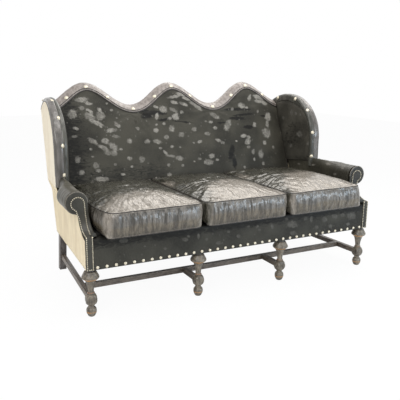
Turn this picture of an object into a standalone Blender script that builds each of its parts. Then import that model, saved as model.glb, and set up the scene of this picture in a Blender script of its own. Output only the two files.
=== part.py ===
"""A high-back three-seat sofa with rolled arms and wings, as separate wooden and upholstered pieces.

The sofa stands on z = 0 and faces -Y. Each piece is drawn with y = 0 at the front of the apron and
x = 0 on the centre line. One empty carries them all, so that the origin lies under the centre of the
whole sofa. The back is drawn upright and then raked, so its depths are insets from the outer back.
"""

import math

import bmesh
import bpy
from mathutils import Matrix, Vector

# Fit between pieces
CLEARANCE = 0.0003
OVERRUN = 0.050

# Seat base
BASE_WIDTH_FRONT = 1.850
BASE_TAPER = 0.070
BASE_WIDTH_REAR = BASE_WIDTH_FRONT - BASE_TAPER
ARM_WIDTH = 0.063
ARM_INNER_X = BASE_WIDTH_FRONT / 2 - ARM_WIDTH
BASE_DEPTH = 0.775
WING_DEPTH = 0.251
WING_FRONT_Y = BASE_DEPTH - WING_DEPTH
UNDERSIDE = 0.257
RAIL_TOP = 0.3825
RAIL_THICKNESS = 0.032
CROSS_RAIL_TOP = 0.345
CROSS_RAIL_WIDTH = 0.028
CORNER_BLOCK_LEG = 0.090
GLUE_OVERLAP = 0.002
DECK_HEIGHT = 0.4235
APRON_EDGE_RADIUS = 0.024
APRON_RETURN = 0.060
APRON_END_INSET = 0.040
APRON_HALF_LENGTH = BASE_WIDTH_FRONT / 2 - APRON_END_INSET
HIDE = 0.003
DUST_COVER = 0.0012
DUST_COVER_MARGIN = 0.012
DECK_PAD_SIDE_GAP = 0.001
DECK_PAD_HALF_WIDTH = ARM_INNER_X - DECK_PAD_SIDE_GAP
DECK_PAD_GAP = 0.0005

# Sinuous springs, placed across the seat by shares of its half width
SPRING_PLACE_SHARES = (-0.812, -0.499, -0.168, 0.168, 0.499, 0.812)
SPRING_WIRE = 0.0038
SPRING_HALF_WIDTH = 0.022
SPRING_PITCH = 0.062
SPRING_CROWN = 0.012
SPRING_END_MARGIN = 0.009
SPRING_FLAT_SHARE = 0.62

# Legs
LEG_SIDE_INSET = 0.028
LEG_X_OUTER = BASE_WIDTH_FRONT / 2 - LEG_SIDE_INSET
LEG_X_INNER = 0.278
LEG_Y = 0.034
LEG_RADIUS = 0.0455
LEG_STEPS = 14
BLOCK_SIDE = 0.054
BLOCK_HEIGHT = 0.058
BLOCK_CENTRE = 0.092
POMMEL_RADIUS = 0.0355
POMMEL_HALF_HEIGHT = 0.036
REAR_LEG_SIDE = 0.040
REAR_LEG_SIDE_INSET = 0.029
REAR_LEG_X = BASE_WIDTH_REAR / 2 - REAR_LEG_SIDE_INSET
REAR_LEG_TOP_INSET = 0.027
REAR_LEG_TOP_Y = BASE_DEPTH - REAR_LEG_TOP_INSET
REAR_LEG_RAKE = 0.049
REAR_LEG_FOOT_Y = REAR_LEG_TOP_Y + REAR_LEG_RAKE

# The turning from its top to the floor, as shares of the leg's height and of the cup's radius
LEG_PROFILE_SHARES = (
    (1.000, 0.550), (0.956, 0.550), (0.953, 0.680), (0.890, 0.870), (0.855, 0.985),
    (0.830, 1.000), (0.808, 0.960), (0.790, 0.830), (0.758, 0.625), (0.700, 0.495),
    (0.620, 0.390), (0.520, 0.330), (0.500, 0.430), (0.478, 0.430), (0.460, 0.400),
    (0.250, 0.400), (0.220, 0.310), (0.175, 0.510), (0.130, 0.585), (0.080, 0.570),
    (0.038, 0.475), (0.000, 0.340),
)

# Stretchers
STRETCHER_HEIGHT = 0.030
STRETCHER_THICKNESS = 0.024
LONG_STRETCHER_Y = 0.219

# Arms
ARM_SHELF = 0.430
ARM_COVER = 0.005
ROLL_SETBACK = 0.009
ROLL_INNER_X = ARM_INNER_X + ROLL_SETBACK
ROLL_RADIUS = 0.058
ROLL_HEIGHT = 0.583
ROLL_TAPER_END_GAP = 0.084
ROLL_TAPER_END = WING_FRONT_Y - ROLL_TAPER_END_GAP
ROLL_TAPER_RUN = 0.150
ROLL_TAPER_START = ROLL_TAPER_END - ROLL_TAPER_RUN
ROLL_TAPER_SHARES = (0.0, 0.25, 0.5, 0.75, 1.0)
ROLL_UNDER_WING_INSET = 0.012
ROLL_STEPS = 16
ROLL_SWEEP_DEGREES = 283
ARM_SETBACK = 0.120
ARM_SWEEP_RISE = 0.100
ARM_SWEEP_STEPS = 8
ARM_FRONT = 0.018
ARM_FACING = 0.003
FACING_MARGIN = 0.0015
FACING_LOOP_RADIUS = 0.038
FACING_LOOP_DROP = 0.004
FACING_NECK_SETBACK = 0.020
FACING_NECK_INNER_X = ARM_INNER_X + FACING_NECK_SETBACK
FACING_NECK_HEIGHT = 0.500
STUMP_THICKNESS = 0.028
STUMP_SETBACK = 0.0155
STUMP_INNER_X = ARM_INNER_X + STUMP_SETBACK
STUMP_HEAD_CLEARANCE = 0.002
ARM_BOARD_THICKNESS = 0.035
ARM_BOARD_RISE = 0.017
ARM_BOARD_TOP = ROLL_HEIGHT + ARM_BOARD_RISE
ARM_BOARD_FILL_SHARE = 0.85
ARM_BOARD_PAST_BACK = 0.045

# Side panels
SUEDE = 0.003
SIDE_SEAM_DROP = 0.008
SIDE_SEAM = ROLL_HEIGHT - SIDE_SEAM_DROP
FLARE_RISE = 0.075
FLARE_START = SIDE_SEAM - FLARE_RISE
FLARE_FULL_GAP = 0.024
FLARE_FULL_Y = WING_FRONT_Y - FLARE_FULL_GAP
FLARE_RUN = 0.070
FLARE_FRONT_Y = FLARE_FULL_Y - FLARE_RUN
PANEL_RISE_GAP = 0.034
PANEL_RISE_Y = WING_FRONT_Y - PANEL_RISE_GAP
PANEL_RISE_RUN = 0.055
SIDE_TOP_CLEARANCE = 0.0008

# Upright lines of the side panel, as shares of the way from the arm's front to the wing's, and from
# there to the base's rear
SIDE_FRONT_SHARES = (0.057, 0.264, 0.420, 0.601, 0.782, 0.860, 0.938, 1.000)
SIDE_REAR_SHARES = (0.104, 0.382, 0.661, 0.900)

# Back
BACK_RAKE = 0.375
BACK_THICKNESS = 0.098
INSIDE_SIDE_GAP = 0.002
INSIDE_HALF_WIDTH = ARM_INNER_X - INSIDE_SIDE_GAP
INSIDE_BACK_FOOT = 0.430
INSIDE_BACK = 0.0225
INSIDE_BACK_SIDE_GAP = 0.0009
INSIDE_BACK_CROWN = 0.008
CREST_MEAN = 1.0825
CREST_WAVE = 0.0725
CREST_PITCH_SHARE = 0.7035
CREST_PITCH = CREST_PITCH_SHARE * INSIDE_HALF_WIDTH
CREST_BAND = 0.045
CREST_LEATHER = 0.008
CREST_STEPS_PER_WAVE = 12
CREST_BOARD_DROP = 0.021
CREST_BOARD_FRONT_INSET = 0.0615
CREST_BOARD_FOOT = 0.930
BACK_BOARD_DEPTH = 0.030
BACK_POST_WIDTH = 0.051
BACK_POST_DEPTH = 0.055
LOWER_BACK_RAIL_HEIGHT = 0.070
SLAT_WIDTH = 0.040
SLAT_THICKNESS = 0.020

# The crest band from its front border over the top to its rear border, as shares of the band's width
# (distance below the top) and of the back's thickness (distance in front of the outer back)
CREST_SECTION_SHARES = (
    (1.00, 0.995), (0.84, 0.993), (0.56, 0.905), (0.32, 0.780), (0.12, 0.630),
    (0.00, 0.450), (0.10, 0.240), (0.36, 0.080), (1.00, 0.000),
)

# Wings
WING_FLARE = 0.010
WING_HALF_WIDTH_FRONT = BASE_WIDTH_FRONT / 2 + WING_FLARE
WING_HALF_WIDTH_REAR = BASE_WIDTH_REAR / 2
WING_CROWN_REACH = 0.055
WING_CROWN_Y = BASE_DEPTH + WING_CROWN_REACH
WING_SPRING_HEIGHT = 0.780
WING_TOP = 1.075
WING_TAPER_RUN = 0.526
WING_REAR_DROP = 0.0643
WING_REAR_RUN = 0.220
WING_FOOT_RISE = 0.002
WING_FOOT = ROLL_HEIGHT + WING_FOOT_RISE
WING_ARC_STEPS = 9
WING_REAR_STEPS = 4
WING_BAND = 0.024
WING_LEATHER = 0.005
WING_PAD = 0.0125
WING_PAD_SEAM = 0.0012
WING_PAD_FOOT_RISE = 0.042
WING_PAD_REAR_RISE = 0.007
WING_PAD_FOOT_FRONT = ROLL_HEIGHT + WING_PAD_FOOT_RISE
WING_PAD_FOOT_REAR = ROLL_HEIGHT + WING_PAD_REAR_RISE
WING_BOARD = 0.013
WING_BOARD_INSET = 0.031
WING_SECTION_SHARES = (
    (0.0, 1.00), (0.0, 0.50), (0.12, 0.12), (0.35, 0.0), (0.65, 0.0), (0.88, 0.12), (1.0, 0.50), (1.0, 0.92),
)

# Loose seat cushions
CUSHION_MIDDLE_WIDTH = 0.548
CUSHION_GAP = 0.003
CUSHION_ARM_GAP = 0.019
CUSHION_OUTER_WIDTH = ARM_INNER_X - CUSHION_ARM_GAP - CUSHION_GAP - CUSHION_MIDDLE_WIDTH / 2
CUSHION_OVERHANG = 0.038
CUSHION_BACK_INSET = 0.049
CUSHION_DEPTH = BASE_DEPTH - CUSHION_BACK_INSET + CUSHION_OVERHANG
CUSHION_SEAM_HEIGHT = 0.129
CUSHION_CROWN = 0.054
CUSHION_REAR_DROP = 0.015
CUSHION_BULGE = 0.005
CUSHION_DRAW = 0.0025
CUSHION_EDGE_LIFT = 0.014
CUSHION_CUTS = 7
CUSHION_CORNER_POWER = 16.0
CUSHION_CROWN_POWER = 2.6

# Large domed nails
NAIL_RADIUS = 0.0085
NAIL_HEIGHT = 0.0045
NAIL_SINK = 0.0015
LARGE_NAIL_SIZE_SHARE = 1.6
NAIL_STEPS = 6
NAIL_PROFILE_SHARES = ((1.00, 0.00), (0.72, 0.72), (0.00, 1.00))
APRON_NAIL_COUNT = 36
APRON_NAIL_HEIGHT = 0.269
APRON_NAIL_END_MARGIN = 0.018
APRON_NAIL_HALF_SPAN = APRON_HALF_LENGTH - APRON_NAIL_END_MARGIN
CREST_NAIL_WAVE_QUARTERS = (-5, -4, -3, -2, -1, 0, 1, 2, 3, 4, 5)
WING_NAIL_INSET = 0.033
WING_NAIL_X = INSIDE_HALF_WIDTH + WING_NAIL_INSET

# The wing nails, as shares of the way from the wing's front to its crown and from the arm's top to the wing's
WING_NAIL_SHARES = ((0.000, 0.042), (0.052, 0.408), (0.271, 0.793), (0.794, 0.970), (1.474, 0.931))

# Colours, roughness and metallic value of each finish
FINISHES = {
    "turned_wood": ((0.085, 0.068, 0.055), 0.55, 0.0),
    "frame_wood": ((0.420, 0.290, 0.170), 0.70, 0.0),
    "hide": ((0.034, 0.034, 0.030), 0.62, 0.0),
    "band_leather": ((0.170, 0.140, 0.128), 0.45, 0.0),
    "cushion_leather": ((0.215, 0.175, 0.150), 0.34, 0.0),
    "suede": ((0.700, 0.600, 0.450), 0.85, 0.0),
    "nail": ((0.780, 0.720, 0.560), 0.30, 1.0),
    "spring_steel": ((0.450, 0.450, 0.460), 0.40, 1.0),
    "padding": ((0.780, 0.740, 0.620), 0.95, 0.0),
    "black_cloth": ((0.020, 0.020, 0.022), 0.90, 0.0),
}


# Scene and helpers

for old_object in list(bpy.data.objects):
    bpy.data.objects.remove(old_object, do_unlink=True)

SOFA = bpy.data.collections.new("sofa")
CUTTERS = bpy.data.collections.new("cutters")
for collection in (SOFA, CUTTERS):
    bpy.context.scene.collection.children.link(collection)
ORIGIN = bpy.data.objects.new("sofa_origin", None)
SOFA.objects.link(ORIGIN)


def finish(name, slot):
    """A Principled material of its own for one piece."""
    colour, roughness, metallic = FINISHES[slot]
    material = bpy.data.materials.new(name)
    material.use_nodes = True
    shader = material.node_tree.nodes["Principled BSDF"]
    shader.inputs["Base Color"].default_value = (*colour, 1.0)
    shader.inputs["Roughness"].default_value = roughness
    shader.inputs["Metallic"].default_value = metallic
    material.diffuse_color = (*colour, 1.0)
    return material


def add_piece(name, data, slot):
    """Puts mesh or curve data into the sofa as one piece with its own material."""
    piece = bpy.data.objects.new(name, data)
    data.materials.clear()
    data.materials.append(finish(name, slot))
    SOFA.objects.link(piece)
    piece.parent = ORIGIN
    return piece


def add_cutter(name, mesh):
    """Puts a mesh among the cutters, which aren't part of the sofa."""
    cutter = bpy.data.objects.new(name, mesh)
    CUTTERS.objects.link(cutter)
    cutter.hide_render = True
    cutter.display_type = "WIRE"
    cutter.parent = ORIGIN
    return cutter


def mesh_from(name, points, faces):
    """A closed or open mesh whose faces agree, facing outwards where it is closed."""
    mesh = bpy.data.meshes.new(name)
    mesh.from_pydata([tuple(point) for point in points], [], faces)
    return mesh


def face_outwards(mesh):
    body = bmesh.new()
    body.from_mesh(mesh)
    bmesh.ops.recalc_face_normals(body, faces=body.faces)
    body.to_mesh(mesh)
    body.free()
    return mesh


def loft_mesh(name, rings):
    """A closed body through rings of equal point count, with a flat cap at each end."""
    count = len(rings[0])
    points = [point for ring in rings for point in ring]
    faces = [tuple(range(count)), tuple(range(len(points) - count, len(points)))]
    for ring in range(len(rings) - 1):
        for index in range(count):
            after = (index + 1) % count
            low, high = ring * count, (ring + 1) * count
            faces.append((low + index, low + after, high + after))
            faces.append((low + index, high + after, high + index))
    return face_outwards(mesh_from(name, points, faces))


def box_mesh(name, low, high):
    """A box between two corners."""
    body = bmesh.new()
    bmesh.ops.create_cube(body, size=1.0)
    size = Vector(high) - Vector(low)
    centre = (Vector(high) + Vector(low)) / 2
    for vert in body.verts:
        vert.co = Vector(part * whole for part, whole in zip(vert.co, size)) + centre
    mesh = bpy.data.meshes.new(name)
    body.to_mesh(mesh)
    body.free()
    return mesh


def shell(name, rows, thickness, slot, flip=False):
    """An open surface through rows of points, made solid on its inner side."""
    count = len(rows[0])
    points = [point for row in rows for point in row]
    faces = []
    for row in range(len(rows) - 1):
        for index in range(count - 1):
            low, high = row * count + index, (row + 1) * count + index
            pair = (low, low + 1, high + 1), (low, high + 1, high)
            faces += [face[::-1] if flip else face for face in pair]
    piece = add_piece(name, mesh_from(name, points, faces), slot)
    solidify = piece.modifiers.new("thickness", "SOLIDIFY")
    solidify.thickness = thickness
    solidify.offset = -1.0
    solidify.use_even_offset = True
    return piece


def boolean(piece, cutter, operation):
    """Cuts or joins with another object, by the exact solver."""
    modifier = piece.modifiers.new(operation.lower(), "BOOLEAN")
    modifier.operation = operation
    modifier.solver = "EXACT"
    modifier.object = cutter


def baked(piece):
    """The evaluated mesh of a piece, after which the piece itself is removed."""
    bpy.context.view_layer.update()
    graph = bpy.context.evaluated_depsgraph_get()
    mesh = bpy.data.meshes.new_from_object(piece.evaluated_get(graph))
    bpy.data.objects.remove(piece, do_unlink=True)
    return mesh


def smooth(mesh, degrees=40):
    mesh.shade_smooth()
    mesh.set_sharp_from_angle(angle=math.radians(degrees))


def ease(value):
    """A smooth step from 0 to 1."""
    value = min(1.0, max(0.0, value))
    return value * value * (3 - 2 * value)


def mirrored(points, side):
    return [(side * x, y, z) for x, y, z in points]


def turned_mesh(name, profile, steps):
    """A closed turning about Z of a profile that runs down its outer side."""
    points = [(radius, 0.0, height) for radius, height in profile]
    mesh = bpy.data.meshes.new(name)
    mesh.from_pydata(points, [(index, index + 1) for index in range(len(points) - 1)], [])
    turning = add_cutter(name, mesh)
    screw = turning.modifiers.new("turn", "SCREW")
    screw.steps = steps
    screw.render_steps = steps
    screw.use_merge_vertices = True
    screw.merge_threshold = 0.00001
    return baked(turning)


# The sofa's own outlines

def side_x(y):
    """Half width over the base's side panels at depth y."""
    taper = (BASE_WIDTH_FRONT - BASE_WIDTH_REAR) / 2
    return BASE_WIDTH_FRONT / 2 - taper * y / BASE_DEPTH


def wing_x(y):
    """Half width over the wings' outer panels at depth y."""
    taper = WING_HALF_WIDTH_FRONT - WING_HALF_WIDTH_REAR
    return WING_HALF_WIDTH_FRONT - taper * (y - WING_FRONT_Y) / WING_TAPER_RUN


def outer_x(y, z):
    """Half width of the outside at any depth and height: the base's side flares into the wing."""
    reach = (y - FLARE_FRONT_Y) / (FLARE_FULL_Y - FLARE_FRONT_Y)
    rise = (z - FLARE_START) / (SIDE_SEAM - FLARE_START)
    return side_x(y) + (wing_x(y) - side_x(y)) * ease(rise) * ease(reach)


def back_y(z, inset=0.0):
    """Depth at height z of the raked plane that lies this far inside the outer back."""
    return BASE_DEPTH - inset + BACK_RAKE * (z - UNDERSIDE)


def sweep(offset):
    """The arm front's profile in Y and Z, moved this far into the arm."""
    points = [(offset, UNDERSIDE)]
    for step in range(ARM_SWEEP_STEPS + 1):
        angle = math.pi / 2 * step / ARM_SWEEP_STEPS
        y = offset + ARM_SETBACK * math.sin(angle)
        z = ARM_SHELF + ARM_SWEEP_RISE - (ARM_SWEEP_RISE + offset) * math.cos(angle)
        points.append((y, z))
    return points


def sweep_y(z, offset):
    """Depth of the arm front's facets at height z, moved this far into the arm."""
    points = sweep(offset)
    for (y_low, z_low), (y_high, z_high) in zip(points, points[1:]):
        if z < z_high:
            return y_low + (y_high - y_low) * max(0.0, z - z_low) / (z_high - z_low)
    return points[-1][0]


def roll_half_width(y):
    """Half width of the arm roll at depth y: it narrows to pass under the wing."""
    outer = wing_x(max(y, ROLL_TAPER_END)) - ROLL_UNDER_WING_INSET
    narrow = (outer - ROLL_INNER_X) / 2
    along = ease((y - ROLL_TAPER_START) / (ROLL_TAPER_END - ROLL_TAPER_START))
    return ROLL_RADIUS + (narrow - ROLL_RADIUS) * along


def roll_point(y, degrees, grow=0.0):
    """A point in X and Z on the arm roll, measured round from its outer side."""
    half = roll_half_width(y)
    angle = math.radians(degrees)
    x = ROLL_INNER_X + half + (half + grow) * math.cos(angle)
    return x, ROLL_HEIGHT + (ROLL_RADIUS + grow) * math.sin(angle)


def arm_outline(y, grow=0.0):
    """The arm in X and Z, from the foot of its inside face over the roll to the roll's underside."""
    foot = ARM_SHELF + CLEARANCE
    levels = [z for _, z in sweep(ARM_FRONT + CLEARANCE) if z > foot + CLEARANCE]
    points = []
    for z in [foot] + levels:
        x = ARM_INNER_X + (ROLL_INNER_X - ARM_INNER_X) * ease((z - foot) / (ROLL_HEIGHT - foot))
        points.append((x - grow, z))
    for step in range(ROLL_STEPS + 1):
        points.append(roll_point(y, 180 - ROLL_SWEEP_DEGREES * step / ROLL_STEPS, grow))
    return points


def arm_stations(last):
    """Depths along the arm, close together where the roll narrows."""
    run = ROLL_TAPER_END - ROLL_TAPER_START
    return [ROLL_TAPER_START + run * share for share in ROLL_TAPER_SHARES] + [(ROLL_TAPER_END + last) / 2]


def roll_underside(y, x):
    """Height of the roll's underside above the point x."""
    half = roll_half_width(y)
    across = (x - ROLL_INNER_X - half) / half
    return ROLL_HEIGHT - ROLL_RADIUS * math.sqrt(1 - min(1.0, across * across))


def crest_point(x, drop=0.0):
    """A point in X and Z on the serpentine crest, moved square to it by this drop."""
    turn = 2 * math.pi / CREST_PITCH
    slope = -CREST_WAVE * turn * math.sin(turn * x)
    length = math.hypot(1.0, slope)
    height = CREST_MEAN + CREST_WAVE * math.cos(turn * x)
    return x + drop * slope / length, height - drop / length


def crest_stations():
    """Places along the crest, spaced so that the waves' tops and hollows fall between two of them."""
    step = CREST_PITCH / CREST_STEPS_PER_WAVE
    end = INSIDE_HALF_WIDTH - CLEARANCE
    count = int(end / step - 0.25)
    inner = [(index + 0.5) * step for index in range(-count - 1, count + 1)]
    return [-end] + [x for x in inner if abs(x) < end - step / 3] + [end]


def wing_top_point(y, inset):
    """A point on the wing's falling top edge, moved square to it by this inset."""
    run = (y - WING_CROWN_Y) / WING_REAR_RUN
    slope = -2 * WING_REAR_DROP * run / WING_REAR_RUN
    length = math.hypot(1.0, slope)
    return y + inset * slope / length, WING_TOP - WING_REAR_DROP * run * run - inset / length


def wing_rear(inset, back_inset):
    """Where the wing's top edge has to be read, so that it ends on a plane inside the outer back."""
    start = WING_CROWN_Y
    for _ in range(30):
        y, z = wing_top_point(start, inset)
        start += back_y(z, back_inset) - y
    return start


def wing_edge(inset, back_inset, foot):
    """The wing's edge in Y and Z, up its front, over its top and down to the back."""
    reach = WING_CROWN_Y - WING_FRONT_Y - inset
    rise = WING_TOP - WING_SPRING_HEIGHT - inset
    waist = (foot + WING_SPRING_HEIGHT) / 2
    points = [(WING_CROWN_Y - reach, foot), (WING_CROWN_Y - reach, waist)]
    for step in range(WING_ARC_STEPS + 1):
        angle = math.pi / 2 * step / WING_ARC_STEPS
        points.append((WING_CROWN_Y - reach * math.cos(angle), WING_SPRING_HEIGHT + rise * math.sin(angle)))
    rear = wing_rear(inset, back_inset)
    for step in range(1, WING_REAR_STEPS + 1):
        points.append(wing_top_point(WING_CROWN_Y + (rear - WING_CROWN_Y) * step / WING_REAR_STEPS, inset))
    return points


# Plates and bars

def plate_yz(name, outline, outer, thickness, side, slot):
    """A plate with a Y and Z outline, whose outer face lies at x = outer(y)."""
    rings = [[(side * (outer(y) - depth), y, z) for y, z in outline] for depth in (0.0, thickness)]
    return add_piece(name, loft_mesh(name, rings), slot)


def plate_raked(name, outline, front_inset, rear_inset, slot):
    """A plate with an X and Z outline, between two planes parallel to the outer back."""
    rings = [[(x, back_y(z, inset), z) for x, z in outline] for inset in (front_inset, rear_inset)]
    return add_piece(name, loft_mesh(name, rings), slot)


def rectangle(x_low, x_high, z_low, z_high):
    return [(x_low, z_low), (x_high, z_low), (x_high, z_high), (x_low, z_high)]


def box(name, low, high, slot):
    return add_piece(name, box_mesh(name, low, high), slot)


# Legs and stretchers

def front_leg_mesh():
    """A turned leg with a square block whose corners are turned away to a pommel."""
    height = UNDERSIDE - CLEARANCE
    profile = [(0.0, height)]
    profile += [(radius * LEG_RADIUS, level * height) for level, radius in LEG_PROFILE_SHARES]
    profile.append((0.0, 0.0))
    leg = bpy.data.objects.new("leg_blank", turned_mesh("leg_turning", profile, LEG_STEPS))
    SOFA.objects.link(leg)
    half = BLOCK_SIDE / 2
    low = (-half, -half, BLOCK_CENTRE - BLOCK_HEIGHT / 2)
    high = (half, half, BLOCK_CENTRE + BLOCK_HEIGHT / 2)
    block = add_cutter("leg_block", box_mesh("leg_block", low, high))
    body = bmesh.new()
    bmesh.ops.create_uvsphere(body, u_segments=16, v_segments=8, radius=1.0)
    for vert in body.verts:
        x, y, z = vert.co
        vert.co = (x * POMMEL_RADIUS, y * POMMEL_RADIUS, BLOCK_CENTRE + z * POMMEL_HALF_HEIGHT)
    pommel_mesh = bpy.data.meshes.new("leg_pommel")
    body.to_mesh(pommel_mesh)
    body.free()
    pommel = add_cutter("leg_pommel", pommel_mesh)
    boolean(block, pommel, "INTERSECT")
    boolean(leg, block, "UNION")
    mesh = baked(leg)
    smooth(mesh)
    return mesh


def build_front_legs():
    mesh = front_leg_mesh()
    places = (-LEG_X_OUTER, -LEG_X_INNER, LEG_X_INNER, LEG_X_OUTER)
    for number, x in enumerate(places, start=1):
        leg = add_piece(f"front_leg_{number}", mesh.copy(), "turned_wood")
        leg.location = (x, LEG_Y, 0.0)


def rear_leg_y(z):
    """Depth of the rear leg's centre at height z: the leg rakes back towards its foot."""
    return REAR_LEG_FOOT_Y + (REAR_LEG_TOP_Y - REAR_LEG_FOOT_Y) * z / UNDERSIDE


def build_rear_leg(side, word):
    half = REAR_LEG_SIDE / 2
    rings = []
    for z in (0.0, UNDERSIDE - CLEARANCE):
        y = rear_leg_y(z)
        corners = ((-half, -half), (half, -half), (half, half), (-half, half))
        rings.append([(side * (REAR_LEG_X + dx), y + dy, z) for dx, dy in corners])
    name = f"rear_leg_{word}"
    add_piece(name, loft_mesh(name, rings), "turned_wood")


def side_stretcher_x(y):
    """Centre line of a side stretcher, from the front leg's block to the rear leg."""
    start = LEG_Y + BLOCK_SIDE / 2
    end = rear_leg_y(BLOCK_CENTRE) - REAR_LEG_SIDE / 2
    return LEG_X_OUTER + (REAR_LEG_X - LEG_X_OUTER) * (y - start) / (end - start)


def build_side_stretcher(side, word):
    half = STRETCHER_THICKNESS / 2
    levels = (BLOCK_CENTRE - STRETCHER_HEIGHT / 2, BLOCK_CENTRE + STRETCHER_HEIGHT / 2)
    section = ((-half, levels[0]), (half, levels[0]), (half, levels[1]), (-half, levels[1]))
    front = LEG_Y + BLOCK_SIDE / 2 + CLEARANCE
    rings = [[], []]
    for dx, z in section:
        rear = rear_leg_y(z) - REAR_LEG_SIDE / 2 - CLEARANCE
        rings[0].append((side * (side_stretcher_x(front) + dx), front, z))
        rings[1].append((side * (side_stretcher_x(rear) + dx), rear, z))
    name = f"side_stretcher_{word}"
    add_piece(name, loft_mesh(name, rings), "turned_wood")


def build_long_stretcher():
    half = STRETCHER_THICKNESS / 2
    low, high = BLOCK_CENTRE - STRETCHER_HEIGHT / 2, BLOCK_CENTRE + STRETCHER_HEIGHT / 2
    front, rear = LONG_STRETCHER_Y - half, LONG_STRETCHER_Y + half
    section = ((front, low), (rear, low), (rear, high), (front, high))
    rings = []
    for side in (-1, 1):
        rings.append([(side * (side_stretcher_x(y) - half - CLEARANCE), y, z) for y, z in section])
    add_piece("long_stretcher", loft_mesh("long_stretcher", rings), "turned_wood")


def build_spur(side, word):
    half = STRETCHER_THICKNESS / 2
    x = side * LEG_X_INNER
    low = (x - half, LEG_Y + BLOCK_SIDE / 2 + CLEARANCE, BLOCK_CENTRE - STRETCHER_HEIGHT / 2)
    high = (x + half, LONG_STRETCHER_Y - half - CLEARANCE, BLOCK_CENTRE + STRETCHER_HEIGHT / 2)
    box(f"spur_stretcher_{word}", low, high, "turned_wood")


# Seat frame

FRONT_RAIL_Y = HIDE + CLEARANCE
FRONT_RAIL_REAR_Y = FRONT_RAIL_Y + RAIL_THICKNESS
REAR_RAIL_INSET = HIDE + CLEARANCE
REAR_RAIL_FRONT_INSET = REAR_RAIL_INSET + RAIL_THICKNESS
SIDE_RAIL_INSET = SUEDE + CLEARANCE


def side_rail_inner_x(y):
    return side_x(y) - SIDE_RAIL_INSET - RAIL_THICKNESS


def corner_block(name, corners):
    """A triangular glue block in a corner of the seat frame, which a leg is fastened to."""
    rings = [[(x, y, z) for x, y in corners(z)] for z in (UNDERSIDE, CROSS_RAIL_TOP)]
    return add_cutter(name, loft_mesh(name, rings))


def build_rails():
    """The front and rear rails, each with its two corner blocks glued on."""
    half = APRON_HALF_LENGTH - CLEARANCE
    low = (-half, FRONT_RAIL_Y, UNDERSIDE)
    front_rail = box("front_rail", low, (half, FRONT_RAIL_REAR_Y, RAIL_TOP), "frame_wood")
    half = side_x(back_y(RAIL_TOP)) - SIDE_RAIL_INSET
    outline = rectangle(-half, half, UNDERSIDE, RAIL_TOP)
    rear_rail = plate_raked("rear_rail", outline, REAR_RAIL_FRONT_INSET, REAR_RAIL_INSET, "frame_wood")
    for side, word in ((-1, "left"), (1, "right")):
        far = FRONT_RAIL_REAR_Y + CORNER_BLOCK_LEG
        x = side_rail_inner_x(far) - CLEARANCE
        near_y = FRONT_RAIL_REAR_Y - GLUE_OVERLAP
        corners = [(x, near_y), (x, far), (x - CORNER_BLOCK_LEG, near_y)]
        block = corner_block(f"front_block_{word}", lambda z: [(side * a, b) for a, b in corners])
        boolean(front_rail, block, "UNION")
        x = side_rail_inner_x(back_y(CROSS_RAIL_TOP, REAR_RAIL_FRONT_INSET)) - CLEARANCE

        def rear_corners(z):
            y = back_y(z, REAR_RAIL_FRONT_INSET)
            points = [(x, y + GLUE_OVERLAP), (x, y - CORNER_BLOCK_LEG), (x - CORNER_BLOCK_LEG, y + GLUE_OVERLAP)]
            return [(side * a, b) for a, b in points]

        block = corner_block(f"rear_block_{word}", rear_corners)
        boolean(rear_rail, block, "UNION")


def build_side_rail(side, word):
    front = ARM_FRONT + CLEARANCE
    outline = [
        (front, UNDERSIDE),
        (back_y(UNDERSIDE, REAR_RAIL_FRONT_INSET) - CLEARANCE, UNDERSIDE),
        (back_y(RAIL_TOP, REAR_RAIL_FRONT_INSET) - CLEARANCE, RAIL_TOP),
        (front, RAIL_TOP),
    ]
    name = f"side_rail_{word}"
    plate_yz(name, outline, lambda y: side_x(y) - SIDE_RAIL_INSET, RAIL_THICKNESS, side, "frame_wood")


def build_cross_rail(side, word):
    """A rail from front to back over a middle leg, low enough to lie below the springs."""
    front = FRONT_RAIL_REAR_Y + CLEARANCE
    half = CROSS_RAIL_WIDTH / 2
    rings = []
    for x in (LEG_X_INNER - half, LEG_X_INNER + half):
        rear_low = back_y(UNDERSIDE, REAR_RAIL_FRONT_INSET) - CLEARANCE
        rear_high = back_y(CROSS_RAIL_TOP, REAR_RAIL_FRONT_INSET) - CLEARANCE
        points = [(front, UNDERSIDE), (rear_low, UNDERSIDE), (rear_high, CROSS_RAIL_TOP), (front, CROSS_RAIL_TOP)]
        rings.append([(side * x, y, z) for y, z in points])
    name = f"cross_rail_{word}"
    add_piece(name, loft_mesh(name, rings), "frame_wood")


def build_springs():
    """Sinuous springs: flat zigzag wires that arch a little from the front rail to the rear rail."""
    radius = SPRING_WIRE / 2
    base = RAIL_TOP + CLEARANCE + radius
    start = FRONT_RAIL_Y + SPRING_END_MARGIN
    end = back_y(RAIL_TOP, REAR_RAIL_INSET) - SPRING_END_MARGIN
    bends = round((end - start) / SPRING_PITCH)
    for number, share in enumerate(SPRING_PLACE_SHARES, start=1):
        place = share * ARM_INNER_X
        points = []
        for bend in range(bends):
            swing = SPRING_HALF_WIDTH if bend % 2 else -SPRING_HALF_WIDTH
            for sign in (-1, 1):
                along = (bend + (1 + sign * SPRING_FLAT_SHARE) / 2) / bends
                y = start + (end - start) * along
                z = base + SPRING_CROWN * math.sin(math.pi * along) ** 2
                points.append((place + swing, y, z))
        name = f"seat_spring_{number}"
        curve = bpy.data.curves.new(name, "CURVE")
        curve.dimensions = "3D"
        curve.bevel_depth = radius
        curve.bevel_resolution = 0
        curve.use_fill_caps = True
        spline = curve.splines.new("POLY")
        spline.points.add(len(points) - 1)
        for point, co in zip(spline.points, points):
            point.co = (*co, 1.0)
        add_piece(name, curve, "spring_steel")


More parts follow.
